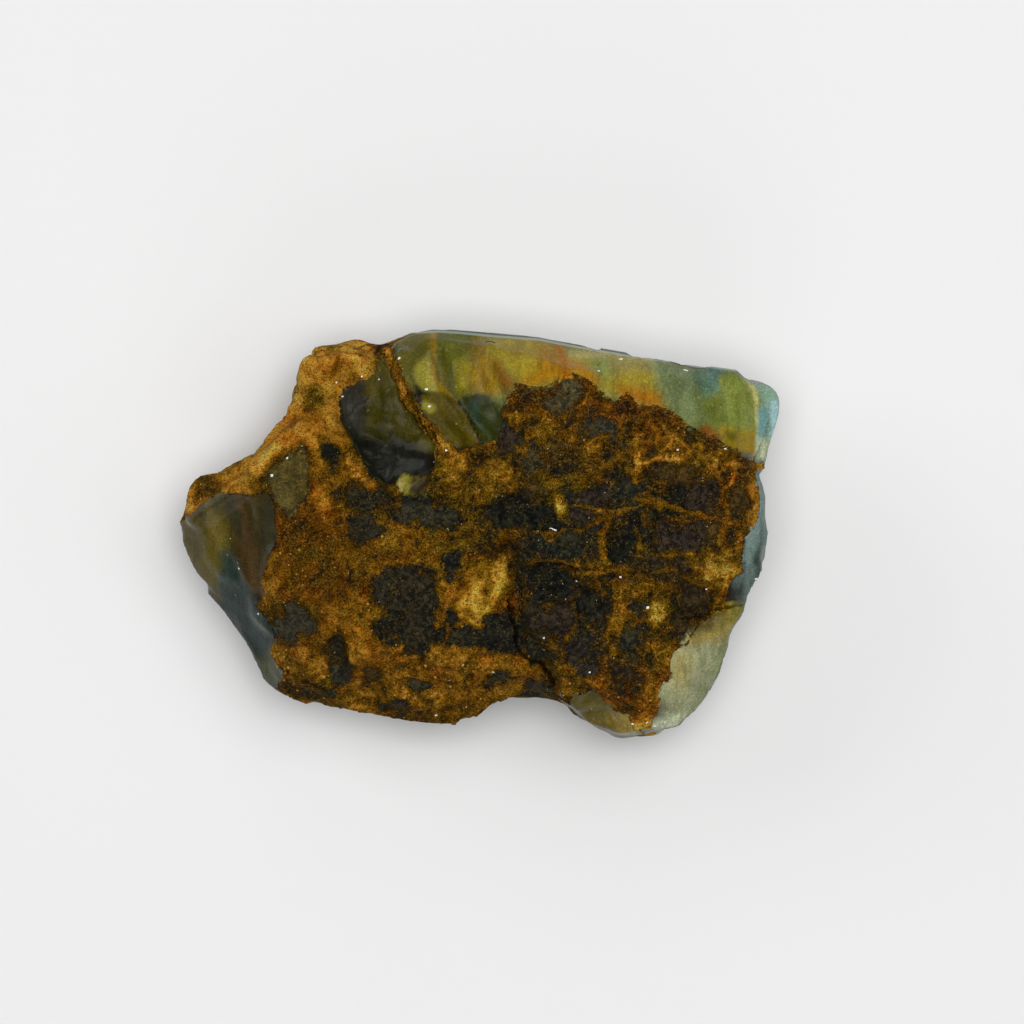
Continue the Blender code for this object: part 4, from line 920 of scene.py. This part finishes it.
chips_bm = bmesh.new()
chips_bm.from_mesh(dust.data)
faces = [tuple(face.vertices) for face in stone_mesh.polygons]
surface = BVHTree.FromPolygons([Vector(point) for point in moved * MM], faces)
for (x, y), length, width, turn in CHIPS:
    spot, normal, _, _ = surface.ray_cast(Vector((x * MM, y * MM, 0.05)), Vector((0.0, 0.0, -1.0)))
    along = (Vector((1.0, 0.0, 0.0)) - normal * normal.x).normalized()
    lie = Matrix((along, normal.cross(along), normal)).transposed()
    sides = Matrix.Diagonal((length * MM, width * MM, CHIP_THICKNESS * MM, 1.0))
    place = Matrix.Translation(spot) @ lie.to_4x4()
    place @= Matrix.Rotation(math.radians(turn), 4, "Z") @ sides
    chip = bmesh.ops.create_cube(chips_bm, size=1.0, matrix=place)
    for corner, loss in zip(chip["verts"], CORNER_LOSS):
        corner.co += (spot - corner.co) * loss
chips_bm.to_mesh(dust.data)
chips_bm.free()
dust.name = "crystal_chips"
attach(dust, "root")

# ----------------------------------------------------------------------------
# The floor: a sheet of plain pale board that the stone lies on. It is wide enough to fill every view, and it
# isn't part of the object.
# ----------------------------------------------------------------------------

floor_mesh = bpy.data.meshes.new("floor")
floor_bm = bmesh.new()
bmesh.ops.create_grid(floor_bm, x_segments=1, y_segments=1, size=3.0)
floor_bm.to_mesh(floor_mesh)
floor_bm.free()
floor = placed("floor", floor_mesh)
floor_material, floor_tree, floor_shader = new_material("pale board")
filled(floor_tree, floor_shader, {"Base Color": (0.82, 0.82, 0.82, 1.0), "Roughness": 0.9})
floor_mesh.materials.append(floor_material)

# ----------------------------------------------------------------------------
# Light and camera: a dark studio with two large soft lights overhead and four low ones around the stone, the
# strongest at the back left, and a long lens that looks straight down.
# ----------------------------------------------------------------------------

world = bpy.data.worlds.new("studio")
bpy.context.scene.world = world
world.use_nodes = True
sky = world.node_tree.nodes["Background"]
filled(world.node_tree, sky, {"Color": (1.0, 1.0, 1.0, 1.0), "Strength": 0.02})


def soft_light(name, place, size, watts):
    """A square soft light that faces the stone."""
    data = bpy.data.lights.new(name, "AREA")
    data.size = size
    data.energy = watts
    light = placed(name, data)
    light.location = place
    light.rotation_mode = "QUATERNION"
    light.rotation_quaternion = (-Vector(place)).to_track_quat("-Z", "Y")
    return light


# Name, place, size in metres, and power. The two overhead ones are kept out of the gloss.
for name, place, size, watts in (
    ("overhead softbox", (0.0, 0.0, 1.0), 0.5, 6.0),
    ("overhead right softbox", (0.265, 0.265, 0.927), 0.5, 2.45),
    ("right softbox", (0.669, 0.0, 0.743), 0.6, 1.0),
    ("back softbox", (0.0, 0.883, 0.469), 0.7, 1.0),
    ("back left softbox", (-0.765, 0.442, 0.469), 0.7, 2.5),
    ("front softbox", (0.0, -0.883, 0.469), 0.7, 1.6),
):
    soft_light(name, place, size, watts).visible_glossy = not name.startswith("overhead")

# In metres. The view is this wide at the height of the stone's widest rim.
SENSOR = 0.036
LENS = 0.250
VIEW_WIDTH = 0.1024
RIM_HEIGHT = 0.008
VIEW_CENTRE = (0.00325, 0.0022)
camera_data = bpy.data.cameras.new("camera")
camera_data.sensor_width = SENSOR * 1000
camera_data.lens = LENS * 1000
camera_data.clip_start = 0.01
camera = placed("camera", camera_data)
camera.location = (*VIEW_CENTRE, RIM_HEIGHT + VIEW_WIDTH * LENS / SENSOR)
bpy.context.scene.camera = camera
bpy.context.scene.view_settings.view_transform = "Standard"
